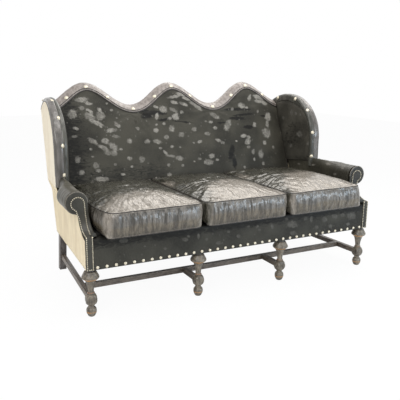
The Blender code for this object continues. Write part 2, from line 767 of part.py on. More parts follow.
def build_deck():
    """The pad on the springs, and the roll of padding over the front rail."""
    spring_top = RAIL_TOP + CLEARANCE + SPRING_WIRE
    low = (-DECK_PAD_HALF_WIDTH, APRON_RETURN + DECK_PAD_GAP, spring_top + SPRING_CROWN + CLEARANCE)
    rear = back_y(low[2], BACK_THICKNESS - INSIDE_BACK + CLEARANCE)
    box("deck_pad", low, (DECK_PAD_HALF_WIDTH, rear, DECK_HEIGHT), "padding")
    inner = HIDE + CLEARANCE
    radius = APRON_EDGE_RADIUS - inner
    foot = spring_top + SPRING_WIRE / 4
    outline = [(inner, foot)]
    for step in range(5):
        angle = math.pi / 2 * step / 4
        y = APRON_EDGE_RADIUS - radius * math.cos(angle)
        outline.append((y, DECK_HEIGHT - APRON_EDGE_RADIUS + radius * math.sin(angle)))
    outline += [(APRON_RETURN, DECK_HEIGHT - inner), (APRON_RETURN, foot)]
    half = APRON_HALF_LENGTH - CLEARANCE
    rings = [[(x, y, z) for y, z in outline] for x in (-half, half)]
    add_piece("front_edge_roll", loft_mesh("front_edge_roll", rings), "padding")


def build_dust_cover():
    """Black cloth under the seat frame, cut away round each leg."""
    high = UNDERSIDE - CLEARANCE
    outline = []
    for y in (DUST_COVER_MARGIN, BASE_DEPTH - DUST_COVER_MARGIN):
        outline.append((side_x(y) - DUST_COVER_MARGIN, y))
    outline += [(-x, y) for x, y in reversed(outline)]
    rings = [[(x, y, z) for x, y in outline] for z in (high - DUST_COVER, high)]
    cover = add_piece("dust_cover", loft_mesh("dust_cover", rings), "black_cloth")
    room = LEG_RADIUS * LEG_PROFILE_SHARES[0][1] + DUST_COVER
    places = [(side * x, LEG_Y, room) for side in (-1, 1) for x in (LEG_X_OUTER, LEG_X_INNER)]
    places += [(side * REAR_LEG_X, REAR_LEG_TOP_Y, REAR_LEG_SIDE / 2 + DUST_COVER) for side in (-1, 1)]
    for number, (x, y, half) in enumerate(places, start=1):
        reach = OVERRUN if abs(x) > LEG_X_INNER else 0.0
        x_range = sorted((x - math.copysign(half, x), x + math.copysign(half + reach, x)))
        y_low = y - half - (OVERRUN if y < BASE_DEPTH / 2 else 0.0)
        low = (x_range[0], y_low, high - OVERRUN)
        cutter = add_cutter(f"leg_hole_{number}", box_mesh("leg_hole", low, (x_range[1], y + half, high + OVERRUN)))
        boolean(cover, cutter, "DIFFERENCE")


# Covers of the seat and arms

def build_apron():
    path = [(0.0, UNDERSIDE)]
    for step in range(5):
        angle = math.pi / 2 * step / 4
        y = APRON_EDGE_RADIUS * (1 - math.cos(angle))
        path.append((y, DECK_HEIGHT - APRON_EDGE_RADIUS * (1 - math.sin(angle))))
    path.append((APRON_RETURN, DECK_HEIGHT))
    half = APRON_HALF_LENGTH - CLEARANCE
    rows = [[(x, y, z) for y, z in path] for x in (half, -half)]
    return shell("apron_cover", rows, HIDE, "hide")


def sweep_slab(name, outer, inner):
    """A slab that follows the arm front's profile between two offsets, wider than the arm."""
    front, rear = sweep(outer), sweep(inner)
    top = ROLL_HEIGHT + ROLL_RADIUS + OVERRUN
    outline = [(front[0][0], UNDERSIDE - OVERRUN)] + front[1:] + [(front[-1][0], top)]
    outline += [(rear[-1][0], top)] + rear[:0:-1] + [(rear[0][0], UNDERSIDE - OVERRUN)]
    x_range = (ARM_INNER_X - OVERRUN, ROLL_INNER_X + 2 * ROLL_RADIUS + OVERRUN)
    return loft_mesh(name, [[(x, y, z) for y, z in outline] for x in x_range])


def arm_front_outline():
    """The whole arm front in X and Z: the post's foot, the neck and the roll."""
    foot = UNDERSIDE
    points = [(APRON_HALF_LENGTH, foot), (APRON_HALF_LENGTH, ARM_SHELF + CLEARANCE)]
    points.append((ARM_INNER_X, ARM_SHELF + CLEARANCE))
    steps = ROLL_STEPS
    for step in range(steps + 1):
        points.append(roll_point(ARM_SETBACK, 180 - 270 * step / steps))
    points += [(BASE_WIDTH_FRONT / 2, ARM_SHELF), (BASE_WIDTH_FRONT / 2, foot)]
    return points


def facing_outline():
    """The nailed facing in X and Z: a strip that widens to a round loop on the roll."""
    inner, outer = APRON_HALF_LENGTH + FACING_MARGIN, BASE_WIDTH_FRONT / 2 - FACING_MARGIN
    foot = UNDERSIDE + FACING_MARGIN
    centre_x, centre_z = ROLL_INNER_X + ROLL_RADIUS - FACING_LOOP_DROP, ROLL_HEIGHT - FACING_LOOP_DROP
    points = [(inner, foot), (inner, ARM_SHELF), (FACING_NECK_INNER_X, FACING_NECK_HEIGHT)]
    for step in range(ROLL_STEPS + 1):
        angle = math.radians(180 - 250 * step / ROLL_STEPS)
        x = centre_x + FACING_LOOP_RADIUS * math.cos(angle)
        points.append((x, centre_z + FACING_LOOP_RADIUS * math.sin(angle)))
    points += [(outer, FACING_NECK_HEIGHT), (outer, ARM_SHELF), (outer, foot)]
    return points


def swept_piece(name, outline, outer, inner, side, slot):
    """A piece with an X and Z outline that follows the arm front's profile."""
    y_range = (-OVERRUN, ARM_SETBACK + OVERRUN)
    rings = [[(x, y, z) for x, z in outline] for y in y_range]
    blank = bpy.data.objects.new(f"{name}_blank", loft_mesh(name, rings))
    SOFA.objects.link(blank)
    slab = add_cutter(f"{name}_slab", sweep_slab(f"{name}_slab", outer, inner))
    boolean(blank, slab, "INTERSECT")
    mesh = baked(blank)
    mesh.transform(Matrix.Scale(side, 4, Vector((1, 0, 0))))
    return add_piece(name, face_outwards(mesh), slot)


def build_arm_front(side, word):
    swept_piece(f"arm_front_{word}", arm_front_outline(), 0.0, ARM_FRONT, side, "hide")
    outer = -ARM_FACING - CLEARANCE
    swept_piece(f"arm_facing_{word}", facing_outline(), outer, -CLEARANCE, side, "hide")


def arm_rows(grow, rear_inset):
    """Rows of arm outlines from the front to the raked inside back."""
    inner = ARM_FRONT + CLEARANCE * 3
    rear = back_y(ROLL_HEIGHT, rear_inset)
    rows = [[(x, sweep_y(z, inner), z) for x, z in arm_outline(ARM_SETBACK, grow)]]
    rows += [[(x, y, z) for x, z in arm_outline(y, grow)] for y in arm_stations(rear)]
    rows.append([(x, back_y(z, rear_inset), z) for x, z in arm_outline(rear, grow)])
    return rows


def build_arm_cover(side, word):
    rows = arm_rows(0.0, BACK_THICKNESS + CLEARANCE)
    rows = [mirrored(row, side) for row in rows]
    return shell(f"arm_cover_{word}", rows, ARM_COVER, "hide", flip=side < 0)


def arm_envelope(side, word):
    """A cutter that leaves clearance over the arm for what stands on it."""
    rows = arm_rows(CLEARANCE * 2, BACK_THICKNESS - ARM_COVER)
    mesh = loft_mesh(f"arm_envelope_{word}", [mirrored(row, side) for row in rows])
    return add_cutter(f"arm_envelope_{word}", mesh)


def build_arm_frame(side, word):
    """The upright stump at the arm's front, and the board that runs back inside the roll."""
    front = ARM_SETBACK + ARM_FRONT + CLEARANCE
    rear = front + STUMP_THICKNESS
    outer = side_x(rear) - SUEDE - CLEARANCE
    head = ROLL_RADIUS - ARM_COVER - STUMP_HEAD_CLEARANCE
    centre = ROLL_INNER_X + ROLL_RADIUS
    outline = [(STUMP_INNER_X, RAIL_TOP + CLEARANCE)]
    for step in range(ROLL_STEPS + 1):
        angle = math.radians(180 - 270 * step / ROLL_STEPS)
        x, z = centre + head * math.cos(angle), ROLL_HEIGHT + head * math.sin(angle)
        if step == ROLL_STEPS:
            x = outer
        outline.append((max(x, STUMP_INNER_X), z))
    outline.append((outer, RAIL_TOP + CLEARANCE))
    rings = [mirrored([(x, y, z) for x, z in outline], side) for y in (front, rear)]
    name = f"arm_stump_{word}"
    add_piece(name, loft_mesh(name, rings), "frame_wood")
    inside = back_y(ROLL_HEIGHT, BACK_THICKNESS)
    rings = []
    for y in [rear + CLEARANCE] + arm_stations(inside) + [inside, inside + ARM_BOARD_PAST_BACK]:
        half = roll_half_width(min(y, inside))
        room = (half - ARM_COVER) * ARM_BOARD_FILL_SHARE - CLEARANCE
        centre = ROLL_INNER_X + half
        low, high = ARM_BOARD_TOP - ARM_BOARD_THICKNESS, ARM_BOARD_TOP
        corners = rectangle(centre - room, centre + room, low, high)
        rings.append(mirrored([(x, y, z) for x, z in corners], side))
    name = f"arm_board_{word}"
    add_piece(name, loft_mesh(name, rings), "frame_wood")


def side_stations():
    """Where the side panel's upright lines stand in Y."""
    start = ARM_SETBACK + ARM_FRONT
    front = [start + share * (WING_FRONT_Y - start) for share in SIDE_FRONT_SHARES]
    return front + [WING_FRONT_Y + share * (BASE_DEPTH - WING_FRONT_Y) for share in SIDE_REAR_SHARES]


def side_panel_top(y):
    """Upper edge of the side panel: under the roll, then up to the seam below the wing."""
    under = roll_underside(y, side_x(y) - SUEDE / 2) - SIDE_TOP_CLEARANCE
    low = min(under, ROLL_HEIGHT - ROLL_RADIUS)
    return low + (SIDE_SEAM - low) * ease((y - PANEL_RISE_Y) / PANEL_RISE_RUN)


def build_side_panel(side, word):
    inner = ARM_FRONT + CLEARANCE
    stations = side_stations()
    front_top = side_panel_top(stations[0])
    levels = [UNDERSIDE] + [z for _, z in sweep(inner)[1:] if z < front_top - SUEDE] + [front_top]
    rows = []
    for level in levels:
        share = (level - UNDERSIDE) / (front_top - UNDERSIDE)
        row = [(sweep_y(level, inner), level)]
        row += [(y, UNDERSIDE + (side_panel_top(y) - UNDERSIDE) * share) for y in stations]
        z = UNDERSIDE + (SIDE_SEAM - UNDERSIDE) * share
        row.append((back_y(z, HIDE + CLEARANCE), z))
        rows.append([(side * outer_x(y, z), y, z) for y, z in row])
    return shell(f"side_panel_{word}", rows, SUEDE, "suede", flip=side > 0)


# Wings

def build_wing(side, word, envelope):
    rear = HIDE + CLEARANCE
    pad_rear = BACK_THICKNESS - INSIDE_BACK + CLEARANCE
    outline = wing_edge(WING_BAND + WING_PAD_SEAM, pad_rear, WING_PAD_FOOT_FRONT)
    outline.append((back_y(WING_PAD_FOOT_REAR, pad_rear), WING_PAD_FOOT_REAR))
    pad_outer = INSIDE_HALF_WIDTH + WING_PAD
    pad = plate_yz(f"wing_pad_{word}", outline, lambda y: pad_outer, WING_PAD, side, "hide")
    board_outer = pad_outer + WING_BOARD + CLEARANCE * 2
    board_foot = ARM_BOARD_TOP + CLEARANCE
    outline = wing_edge(WING_BOARD_INSET, rear, board_foot)
    outline.append((back_y(board_foot, rear), board_foot))
    board = plate_yz(f"wing_board_{word}", outline, lambda y: board_outer, WING_BOARD, side, "frame_wood")
    outline = wing_edge(WING_BAND + CLEARANCE * 2, rear, SIDE_SEAM + CLEARANCE)
    outline.append((back_y(SIDE_SEAM + CLEARANCE, rear), SIDE_SEAM + CLEARANCE))
    plate_yz(f"wing_outer_{word}", outline, wing_x, SUEDE, side, "suede")
    band = build_wing_band(side, word)
    for piece in (pad, board, band):
        boolean(piece, envelope, "DIFFERENCE")
    return band


def build_wing_band(side, word):
    """The leather roll round the wing's front and top edge."""
    edge = wing_edge(0.0, HIDE + CLEARANCE, WING_FOOT)
    rows = []
    for index, (y, z) in enumerate(edge):
        before, after = edge[max(index - 1, 0)], edge[min(index + 1, len(edge) - 1)]
        along = Vector((after[0] - before[0], after[1] - before[1])).normalized()
        inward = Vector((along.y, -along.x))
        if index == 0:
            inward = Vector((1.0, 0.0))
        row = []
        for across, depth in WING_SECTION_SHARES:
            x = INSIDE_HALF_WIDTH + (wing_x(y) - INSIDE_HALF_WIDTH) * across
            place = Vector((y, z)) + inward * WING_BAND * depth
            row.append((side * x, place.x, place.y))
        rows.append(row)
    rows[-1] = [(x, back_y(z, HIDE + CLEARANCE), z) for x, _, z in rows[-1]]
    return shell(f"wing_band_{word}", rows, WING_LEATHER, "band_leather", flip=side < 0)


# Back

def build_back_frame():
    front = BACK_THICKNESS - INSIDE_BACK - CLEARANCE
    rear = front - BACK_BOARD_DEPTH
    outer = INSIDE_HALF_WIDTH + WING_PAD
    top = CREST_BOARD_FOOT - CLEARANCE
    for side, word in ((-1, "left"), (1, "right")):
        x_range = sorted((side * (outer - BACK_POST_WIDTH), side * outer))
        outline = rectangle(*x_range, RAIL_TOP + CLEARANCE, top)
        plate_raked(f"back_post_{word}", outline, front, front - BACK_POST_DEPTH, "frame_wood")
        x = side * CREST_PITCH / 2
        low = INSIDE_BACK_FOOT + LOWER_BACK_RAIL_HEIGHT + CLEARANCE
        outline = rectangle(x - SLAT_WIDTH / 2, x + SLAT_WIDTH / 2, low, top)
        plate_raked(f"back_slat_{word}", outline, front, front - SLAT_THICKNESS, "frame_wood")
    half = outer - BACK_POST_WIDTH - CLEARANCE
    outline = rectangle(-half, half, INSIDE_BACK_FOOT, INSIDE_BACK_FOOT + LOWER_BACK_RAIL_HEIGHT)
    plate_raked("lower_back_rail", outline, front, rear, "frame_wood")
    stations = crest_stations()[1:-1]
    outline = [crest_point(x, CREST_BOARD_DROP) for x in stations]
    outline += [(outline[-1][0], CREST_BOARD_FOOT), (outline[0][0], CREST_BOARD_FOOT)]
    crest_rear = CREST_BOARD_FRONT_INSET - BACK_BOARD_DEPTH
    plate_raked("crest_board", outline, CREST_BOARD_FRONT_INSET, crest_rear, "frame_wood")


def build_inside_back():
    """The padded hide of the back: its top follows the crest band's lower border."""
    limit = INSIDE_HALF_WIDTH - INSIDE_BACK_SIDE_GAP
    rows = []
    for share in (0.0, 0.3, 0.7, 1.0):
        row = []
        for x in crest_stations():
            end = abs(x) > limit
            top_x, top_z = crest_point(x, CREST_BAND + CLEARANCE * 3)
            place_x = math.copysign(limit, x) if end else x + (top_x - x) * share
            z = INSIDE_BACK_FOOT + (top_z - INSIDE_BACK_FOOT) * share
            swell = (1 - (place_x / INSIDE_HALF_WIDTH) ** 4) * (1 - (2 * share - 1) ** 4)
            row.append((place_x, back_y(z, BACK_THICKNESS) - INSIDE_BACK_CROWN * swell, z))
        rows.append(row)
    return shell("inside_back", rows, INSIDE_BACK / math.hypot(1.0, BACK_RAKE), "hide")


def build_crest_band():
    """The leather roll over the serpentine crest."""
    rows = []
    stations = crest_stations()
    for x in stations:
        row = []
        for drop, forward in CREST_SECTION_SHARES:
            place_x, z = crest_point(x, drop * CREST_BAND)
            if x in (stations[0], stations[-1]):
                place_x = x
            row.append((place_x, back_y(z, forward * BACK_THICKNESS), z))
        rows.append(row)
    return shell("crest_band", rows, CREST_LEATHER, "band_leather", flip=True)


def build_outer_back():
    """The outer back panel: it covers the rear edges of the sides and wings."""
    wing_top = wing_top_point(wing_rear(WING_BAND, 0.0), WING_BAND)[1]
    levels = (UNDERSIDE, FLARE_START, (FLARE_START + SIDE_SEAM) / 2, SIDE_SEAM, wing_top)
    right = [(outer_x(back_y(z), z), z) for z in levels]
    edge = crest_stations()[-1]
    border = crest_point(edge, CREST_BAND + CLEARANCE)[1]
    right += [(edge + CLEARANCE, wing_top), (edge + CLEARANCE, border)]
    crest = [crest_point(x, CREST_BAND + CLEARANCE) for x in reversed(crest_stations()[1:-1])]
    left = [(-x, z) for x, z in reversed(right)]
    plate_raked("outer_back", right + crest + left, HIDE, 0.0, "suede")


# Loose cushions

def cushion_mesh(name, width):
    """A boxed cushion: crowned top, rounded corners, sides that swell between seams and draw in between corners."""
    body = bmesh.new()
    bmesh.ops.create_cube(body, size=2.0)
    bmesh.ops.subdivide_edges(body, edges=body.edges, cuts=CUSHION_CUTS, use_grid_fill=True)
    half_width, half_depth = width / 2, CUSHION_DEPTH / 2
    for vert in body.verts:
        u, v, w = vert.co
        reach = max(abs(u), abs(v))
        if reach > 0:
            power = CUSHION_CORNER_POWER
            squeeze = (abs(u / reach) ** power + abs(v / reach) ** power) ** (1 / power)
            u, v = u / squeeze, v / squeeze
        edge = max(abs(u), abs(v))
        swell = CUSHION_BULGE * (w * w)
        draw_x = CUSHION_DRAW * (1 - v * v) + swell
        draw_y = CUSHION_DRAW * (1 - u * u) + swell
        x = u * (half_width - draw_x * edge)
        y = v * (half_depth - draw_y * edge)
        seam = CUSHION_SEAM_HEIGHT - CUSHION_REAR_DROP * (v + 1) / 2
        crown = (1 - abs(u) ** CUSHION_CROWN_POWER) * (1 - abs(v) ** CUSHION_CROWN_POWER)
        top = seam + CUSHION_CROWN * max(0.0, crown)
        bottom = CUSHION_EDGE_LIFT * edge ** 8
        z = bottom + (top - bottom) * (w + 1) / 2
        y += BACK_RAKE * z * max(0.0, v) ** 2
        vert.co = (x, y, z)
    mesh = bpy.data.meshes.new(name)
    body.to_mesh(mesh)
    body.free()
    smooth(mesh, 60)
    return mesh


def build_cushions():
    outer_x_place = CUSHION_MIDDLE_WIDTH / 2 + CUSHION_GAP + CUSHION_OUTER_WIDTH / 2
    places = (
        ("seat_cushion_left", -outer_x_place, CUSHION_OUTER_WIDTH),
        ("seat_cushion_middle", 0.0, CUSHION_MIDDLE_WIDTH),
        ("seat_cushion_right", outer_x_place, CUSHION_OUTER_WIDTH),
    )
    for name, x, width in places:
        cushion = add_piece(name, cushion_mesh(name, width), "cushion_leather")
        cushion.location = (x, CUSHION_DEPTH / 2 - CUSHION_OVERHANG, DECK_HEIGHT + CLEARANCE)


# Large nails

def nail_mesh(share=1.0):
    """A domed nail whose rim stands a little inside the leather, this many times the apron nail's size."""
    radius, height, sink = NAIL_RADIUS * share, NAIL_HEIGHT * share, NAIL_SINK * share
    profile = [(across * radius, up * height) for across, up in reversed(NAIL_PROFILE_SHARES)]
    return turned_mesh("nail", profile + [(radius, -sink), (0.0, -sink)], NAIL_STEPS)


def drive_nails(piece, mesh, seats):
    """Joins a row of nails to the cover that they are driven into."""
    body = bmesh.new()
    for place, normal in seats:
        first = len(body.verts)
        body.from_mesh(mesh)
        body.verts.ensure_lookup_table()
        turn = Vector((0, 0, 1)).rotation_difference(normal)
        for vert in body.verts[first:]:
            vert.co = turn @ vert.co + place
    name = f"{piece.name}_nails"
    row = bpy.data.meshes.new(name)
    body.to_mesh(row)
    body.free()
    boolean(piece, add_cutter(name, row), "UNION")


def seat_on(piece, start, direction):
    """Where a line meets a piece, and which way the surface faces there."""
    evaluated = piece.evaluated_get(bpy.context.evaluated_depsgraph_get())
    found, place, normal, _ = evaluated.ray_cast(Vector(start), Vector(direction))
    if not found:
        raise ValueError(f"no seat for a nail on {piece.name}")
    return place, normal


def build_nails(apron, crest_band, wing_bands):
    """The domed nails along the apron, and the larger ones along the crest and the wings."""
    mesh = nail_mesh()
    bpy.context.view_layer.update()
    step = 2 * APRON_NAIL_HALF_SPAN / (APRON_NAIL_COUNT - 1)
    places = [index * step - APRON_NAIL_HALF_SPAN for index in range(APRON_NAIL_COUNT)]
    front = Vector((0, -1, 0))
    drive_nails(apron, mesh, [(Vector((x, 0.0, APRON_NAIL_HEIGHT)), front) for x in places])
    mesh = nail_mesh(LARGE_NAIL_SIZE_SHARE)
    seats = []
    for quarter in CREST_NAIL_WAVE_QUARTERS:
        x, z = crest_point(quarter * CREST_PITCH / 4, CREST_BAND * CREST_SECTION_SHARES[2][0])
        seats.append(seat_on(crest_band, (x, back_y(z, BACK_THICKNESS) - OVERRUN, z), (0, 1, 0)))
    drive_nails(crest_band, mesh, seats)
    arm_top = ROLL_HEIGHT + ROLL_RADIUS
    for side, band in wing_bands:
        seats = []
        for share_y, share_z in WING_NAIL_SHARES:
            y = WING_FRONT_Y + share_y * (WING_CROWN_Y - WING_FRONT_Y)
            z = arm_top + share_z * (WING_TOP - arm_top)
            out = Vector((0.0, min(0.0, y - WING_CROWN_Y), max(0.0, z - WING_SPRING_HEIGHT)))
            out = out.normalized() if out.length else Vector((0, 0, 1))
            start = Vector((side * WING_NAIL_X, y, z)) + out * OVERRUN
            seats.append(seat_on(band, start, -out))
        drive_nails(band, mesh, seats)


def centre_on_origin():
    """Moves the carrying empty, so that the origin lies under the centre of the sofa's box."""
    bpy.context.view_layer.update()
    graph = bpy.context.evaluated_depsgraph_get()
    depths = []
    for piece in SOFA.objects:
        if piece.type == "EMPTY":
            continue
        shape = piece.evaluated_get(graph)
        mesh = shape.to_mesh()
        depths += [(shape.matrix_world @ vert.co).y for vert in mesh.vertices]
        shape.to_mesh_clear()
    ORIGIN.location.y = -(min(depths) + max(depths)) / 2


SIDES = ((-1, "left"), (1, "right"))
build_front_legs()
build_long_stretcher()
build_rails()
build_springs()
build_deck()
build_dust_cover()
apron_cover = build_apron()
build_back_frame()
build_inside_back()
build_outer_back()
build_cushions()
bands = []
for side_sign, side_word in SIDES:
    build_rear_leg(side_sign, side_word)
    build_side_stretcher(side_sign, side_word)
    build_spur(side_sign, side_word)
    build_side_rail(side_sign, side_word)
    build_cross_rail(side_sign, side_word)
    build_arm_front(side_sign, side_word)
    build_arm_cover(side_sign, side_word)
    build_arm_frame(side_sign, side_word)
    build_side_panel(side_sign, side_word)
    bands.append((side_sign, build_wing(side_sign, side_word, arm_envelope(side_sign, side_word))))
build_nails(apron_cover, build_crest_band(), bands)
centre_on_origin()
print("origin moved by", round(ORIGIN.location.y, 5))
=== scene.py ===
"""The looks of a high-back three-seat sofa in dark hair-on hide, taupe leather and cream suede.

The pieces are drawn with y = 0 at the apron's front and moved by SHIFT into the frame. Sizes are in metres.
"""

import math

import bmesh
import bpy
import numpy as np
from mathutils import Matrix, Vector, noise


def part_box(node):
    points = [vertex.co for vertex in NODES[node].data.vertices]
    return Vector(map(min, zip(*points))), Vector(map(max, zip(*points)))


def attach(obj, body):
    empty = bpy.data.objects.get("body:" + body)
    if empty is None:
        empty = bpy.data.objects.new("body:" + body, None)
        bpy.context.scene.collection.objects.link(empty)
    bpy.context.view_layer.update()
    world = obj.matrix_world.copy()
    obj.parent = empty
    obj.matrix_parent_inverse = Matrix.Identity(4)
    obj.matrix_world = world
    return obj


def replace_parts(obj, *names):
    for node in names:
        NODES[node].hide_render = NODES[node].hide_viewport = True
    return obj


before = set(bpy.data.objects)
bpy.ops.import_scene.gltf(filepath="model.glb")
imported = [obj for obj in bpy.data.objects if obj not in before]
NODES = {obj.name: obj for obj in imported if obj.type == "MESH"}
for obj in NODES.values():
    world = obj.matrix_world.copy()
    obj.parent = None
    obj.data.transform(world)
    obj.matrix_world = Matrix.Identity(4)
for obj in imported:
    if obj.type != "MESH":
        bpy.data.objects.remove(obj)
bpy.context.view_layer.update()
SIDES = ((-1, "left"), (1, "right"))

# Base and apron
BASE_HALF_FRONT, BASE_HALF_REAR, BASE_DEPTH = 0.925, 0.890, 0.775
UNDERSIDE, DECK_HEIGHT, HIDE, SUEDE, GAP = 0.257, 0.4235, 0.003, 0.003, 0.0003
COVER_GAP = 3 * GAP
APRON_HALF, APRON_EDGE, APRON_RETURN = 0.885, 0.024, 0.060
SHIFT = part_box("front_rail")[0][1] - HIDE - GAP

# Arms and side panels
ARM_INNER_X, ARM_SHELF, ARM_SETBACK, ARM_RISE, ARM_FRONT = 0.862, 0.430, 0.120, 0.100, 0.018
ROLL_INNER_X, ROLL_RADIUS, ROLL_HEIGHT, ROLL_END = 0.871, 0.058, 0.583, -103
TAPER_START, TAPER_END, WING_LEDGE = 0.290, 0.440, 0.012
SIDE_SEAM, FLARE_START, FLARE_Y, FLARE_RUN = 0.575, 0.500, 0.430, 0.070

# Nailed facing on the arm front, with its inner and outer edge as height and place across
LOOP_X, LOOP_Z, LOOP_RADIUS = 0.925, 0.579, 0.038
FACING_INNER = ((ARM_SHELF, 0.500, LOOP_Z), (0.8865, 0.8820, 0.8870))
FACING_OUTER = ((0.500, 0.5433), (0.9235, 0.9380))
BEAD_INSET, BEAD_FOOT, BEAD_PITCH = 0.0035, 0.2615, 0.0104

# Back and crest
BACK_RAKE, BACK_THICKNESS, INSIDE_HALF, INSIDE_BACK, BACK_CROWN = 0.375, 0.098, 0.860, 0.0225, 0.008
RAKE_LENGTH = math.hypot(1.0, BACK_RAKE)
CREST_MEAN, CREST_WAVE, CREST_PITCH, CREST_BAND = 1.0825, 0.0725, 0.605, 0.045
CREST_END, CREST_TURN = INSIDE_HALF - GAP, 2 * math.pi / CREST_PITCH
CREST_SECTION = (
    (1.00, 0.995), (0.84, 0.993), (0.56, 0.905), (0.32, 0.780), (0.12, 0.630),
    (0.00, 0.450), (0.10, 0.240), (0.36, 0.080), (1.00, 0.000),
)

# Wings
WING_HALF_FRONT, WING_NARROWING, WING_LENGTH = 0.935, 0.045, 0.526
WING_FRONT_Y, WING_CROWN_Y, WING_REAR_Y = 0.524, 0.830, 1.045
WING_SPRING, WING_TOP, WING_FOOT, PAD_FOOT_FRONT, PAD_FOOT_REAR = 0.780, 1.075, 0.585, 0.625, 0.590
WING_DROP, WING_RUN, WING_BAND, WING_SEAM, CROWN_DROP = 0.0643, 0.220, 0.024, 0.36, 0.021
WING_SECTION = (
    (0.0, 1.00), (0.0, 0.50), (0.12, 0.12), (0.35, 0.0), (0.65, 0.0), (0.88, 0.12), (1.0, 0.50), (1.0, 0.92),
)
# Shares of the way from the wing's front to its crown and from the arm's top to the wing's
WING_NAILS = ((0.00, 0.03), (0.03, 0.41), (0.25, 0.76), (0.72, 0.96), (1.46, 0.93))

# Legs, as shares of the height and of the cup's radius
LEG_PLACES, LEG_Y, CUP_RADIUS = (-0.897, -0.278, 0.278, 0.897), 0.034, 0.0455
BLOCK_HALF, BLOCK_Z, BLOCK_REACH, CHAMFER, CHAMFER_RUN = 0.027, 0.092, 0.0292, 0.0015, 0.003
POMMEL_RADIUS, POMMEL_REACH = 0.0355, 0.036
LEG_PROFILE = (
    (1.000, 0.550), (0.956, 0.550), (0.953, 0.680), (0.925, 0.770), (0.890, 0.870), (0.855, 0.975),
    (0.838, 1.000), (0.822, 0.995), (0.808, 0.950), (0.790, 0.830), (0.758, 0.625), (0.700, 0.495),
    (0.620, 0.390), (0.535, 0.335), (0.515, 0.350), (0.500, 0.430), (0.478, 0.430), (0.466, 0.400),
    (0.440, 0.400), (0.250, 0.400), (0.232, 0.350), (0.220, 0.310), (0.200, 0.380), (0.175, 0.510),
    (0.150, 0.570), (0.120, 0.588), (0.080, 0.570), (0.038, 0.475), (0.012, 0.400), (0.000, 0.340),
)

# Cushions
CUSHION_Y, CUSHION_HALF_DEPTH, CUSHION_SEAM = 0.344, 0.382, 0.129
CUSHION_REAR_DROP, CUSHION_CROWN = 0.015, 0.054
CORNER_POWER, CROWN_POWER, CUSHION_BULGE, CUSHION_DRAW, CUSHION_EDGE_LIFT = 16, 2.6, 0.0055, 0.0025, 0.014
FRONT_REACH, LIP_DROP, LIP_REACH, CORNER_PULL, CORNER_BACK = 0.012, 0.016, 0.004, 0.020, 0.006
FOLD_HEIGHT, FOLD_SCALE = 0.0026, 0.008

# Radius and height of the nails
APRON_NAIL, LARGE_NAIL, CORNER_NAIL = (0.0085, 0.0045), (0.0136, 0.0072), (0.0068, 0.0036)
BACK_BEAD, SIDE_BEAD, FACING_BEAD = (0.0042, 0.0024), (0.0038, 0.0020), (0.0032, 0.0022)
SMALL_NAIL = 0.005
DOME = ((1.0, -0.35), (1.0, 0.05), (0.93, 0.34), (0.78, 0.62), (0.55, 0.85), (0.28, 0.97))
SMALL_DOME = ((1.0, -0.35), (0.96, 0.2), (0.72, 0.68), (0.36, 0.94))


# Camera

FOCAL_PIXELS, PICTURE_MIDDLE = 560, 200


def add_object(name, data):
    thing = bpy.data.objects.new(name, data)
    bpy.context.scene.collection.objects.link(thing)
    return thing


def make_camera():
    yaw, pitch, roll = math.radians(27.349), math.radians(13.306), math.radians(0.557)
    look = Vector((math.sin(yaw) * math.cos(pitch), math.cos(yaw) * math.cos(pitch), -math.sin(pitch)))
    right = Vector((math.cos(yaw), -math.sin(yaw), 0.0))
    up = right.cross(look)
    right, up = (
        right * math.cos(roll) + up * math.sin(roll),
        up * math.cos(roll) - right * math.sin(roll),
    )
    place = Vector((-1.6394, -2.6115 + SHIFT, 1.2578))
    data = bpy.data.cameras.new("camera")
    data.lens, data.sensor_width = 50.4, 36.0
    camera = add_object("camera", data)
    camera.matrix_world = Matrix((
        (right.x, up.x, -look.x, place.x),
        (right.y, up.y, -look.y, place.y),
        (right.z, up.z, -look.z, place.z),
        (0.0, 0.0, 0.0, 1.0),
    ))
    bpy.context.scene.camera = camera
    return np.array(place), np.array(right), np.array(up), np.array(look)


CAMERA = make_camera()


def picture_place(points):
    """Where points of the frame fall in the picture, in pixels."""
    place, right, up, look = CAMERA
    away = points - place
    scale = FOCAL_PIXELS / (away @ look)
    return PICTURE_MIDDLE + scale * (away @ right), PICTURE_MIDDLE - scale * (away @ up)


# Outlines that the pieces share

def ease(value):
    value = np.clip(value, 0.0, 1.0)
    return value * value * (3 - 2 * value)


def border_fade(share, width):
    """From 0 at both ends of a share to 1 this far inside."""
    return ease(np.minimum(share, 1 - share) / width)


def ridge(distance, width):
    """A round ridge, 1 high, for the distance from its middle."""
    return np.exp(-(distance / width) ** 2)


def side_x(y):
    """Half the base's width at depth y."""
    return BASE_HALF_FRONT - (BASE_HALF_FRONT - BASE_HALF_REAR) * y / BASE_DEPTH


def wing_x(y):
    """Half the width over the wings at depth y."""
    return WING_HALF_FRONT - WING_NARROWING * (y - WING_FRONT_Y) / WING_LENGTH


def outer_x(y, z):
    """Half the width of the outer skin, which flares from the base out to the wing."""
    flare = ease((z - FLARE_START) / (SIDE_SEAM - FLARE_START)) * ease((y - FLARE_Y) / FLARE_RUN)
    return side_x(y) + (wing_x(y) - side_x(y)) * flare


def back_y(z, inset=0.0):
    """Depth of the raked back at height z, moved forward by this inset."""
    return BASE_DEPTH - inset + BACK_RAKE * (z - UNDERSIDE)


def sweep_y(z, offset):
    """Depth of the arm front's sweep at height z, moved this far into the arm."""
    share = np.clip((ARM_SHELF + ARM_RISE - z) / (ARM_RISE + offset), 0.0, 1.0)
    return offset + ARM_SETBACK * np.sqrt(1 - share * share)


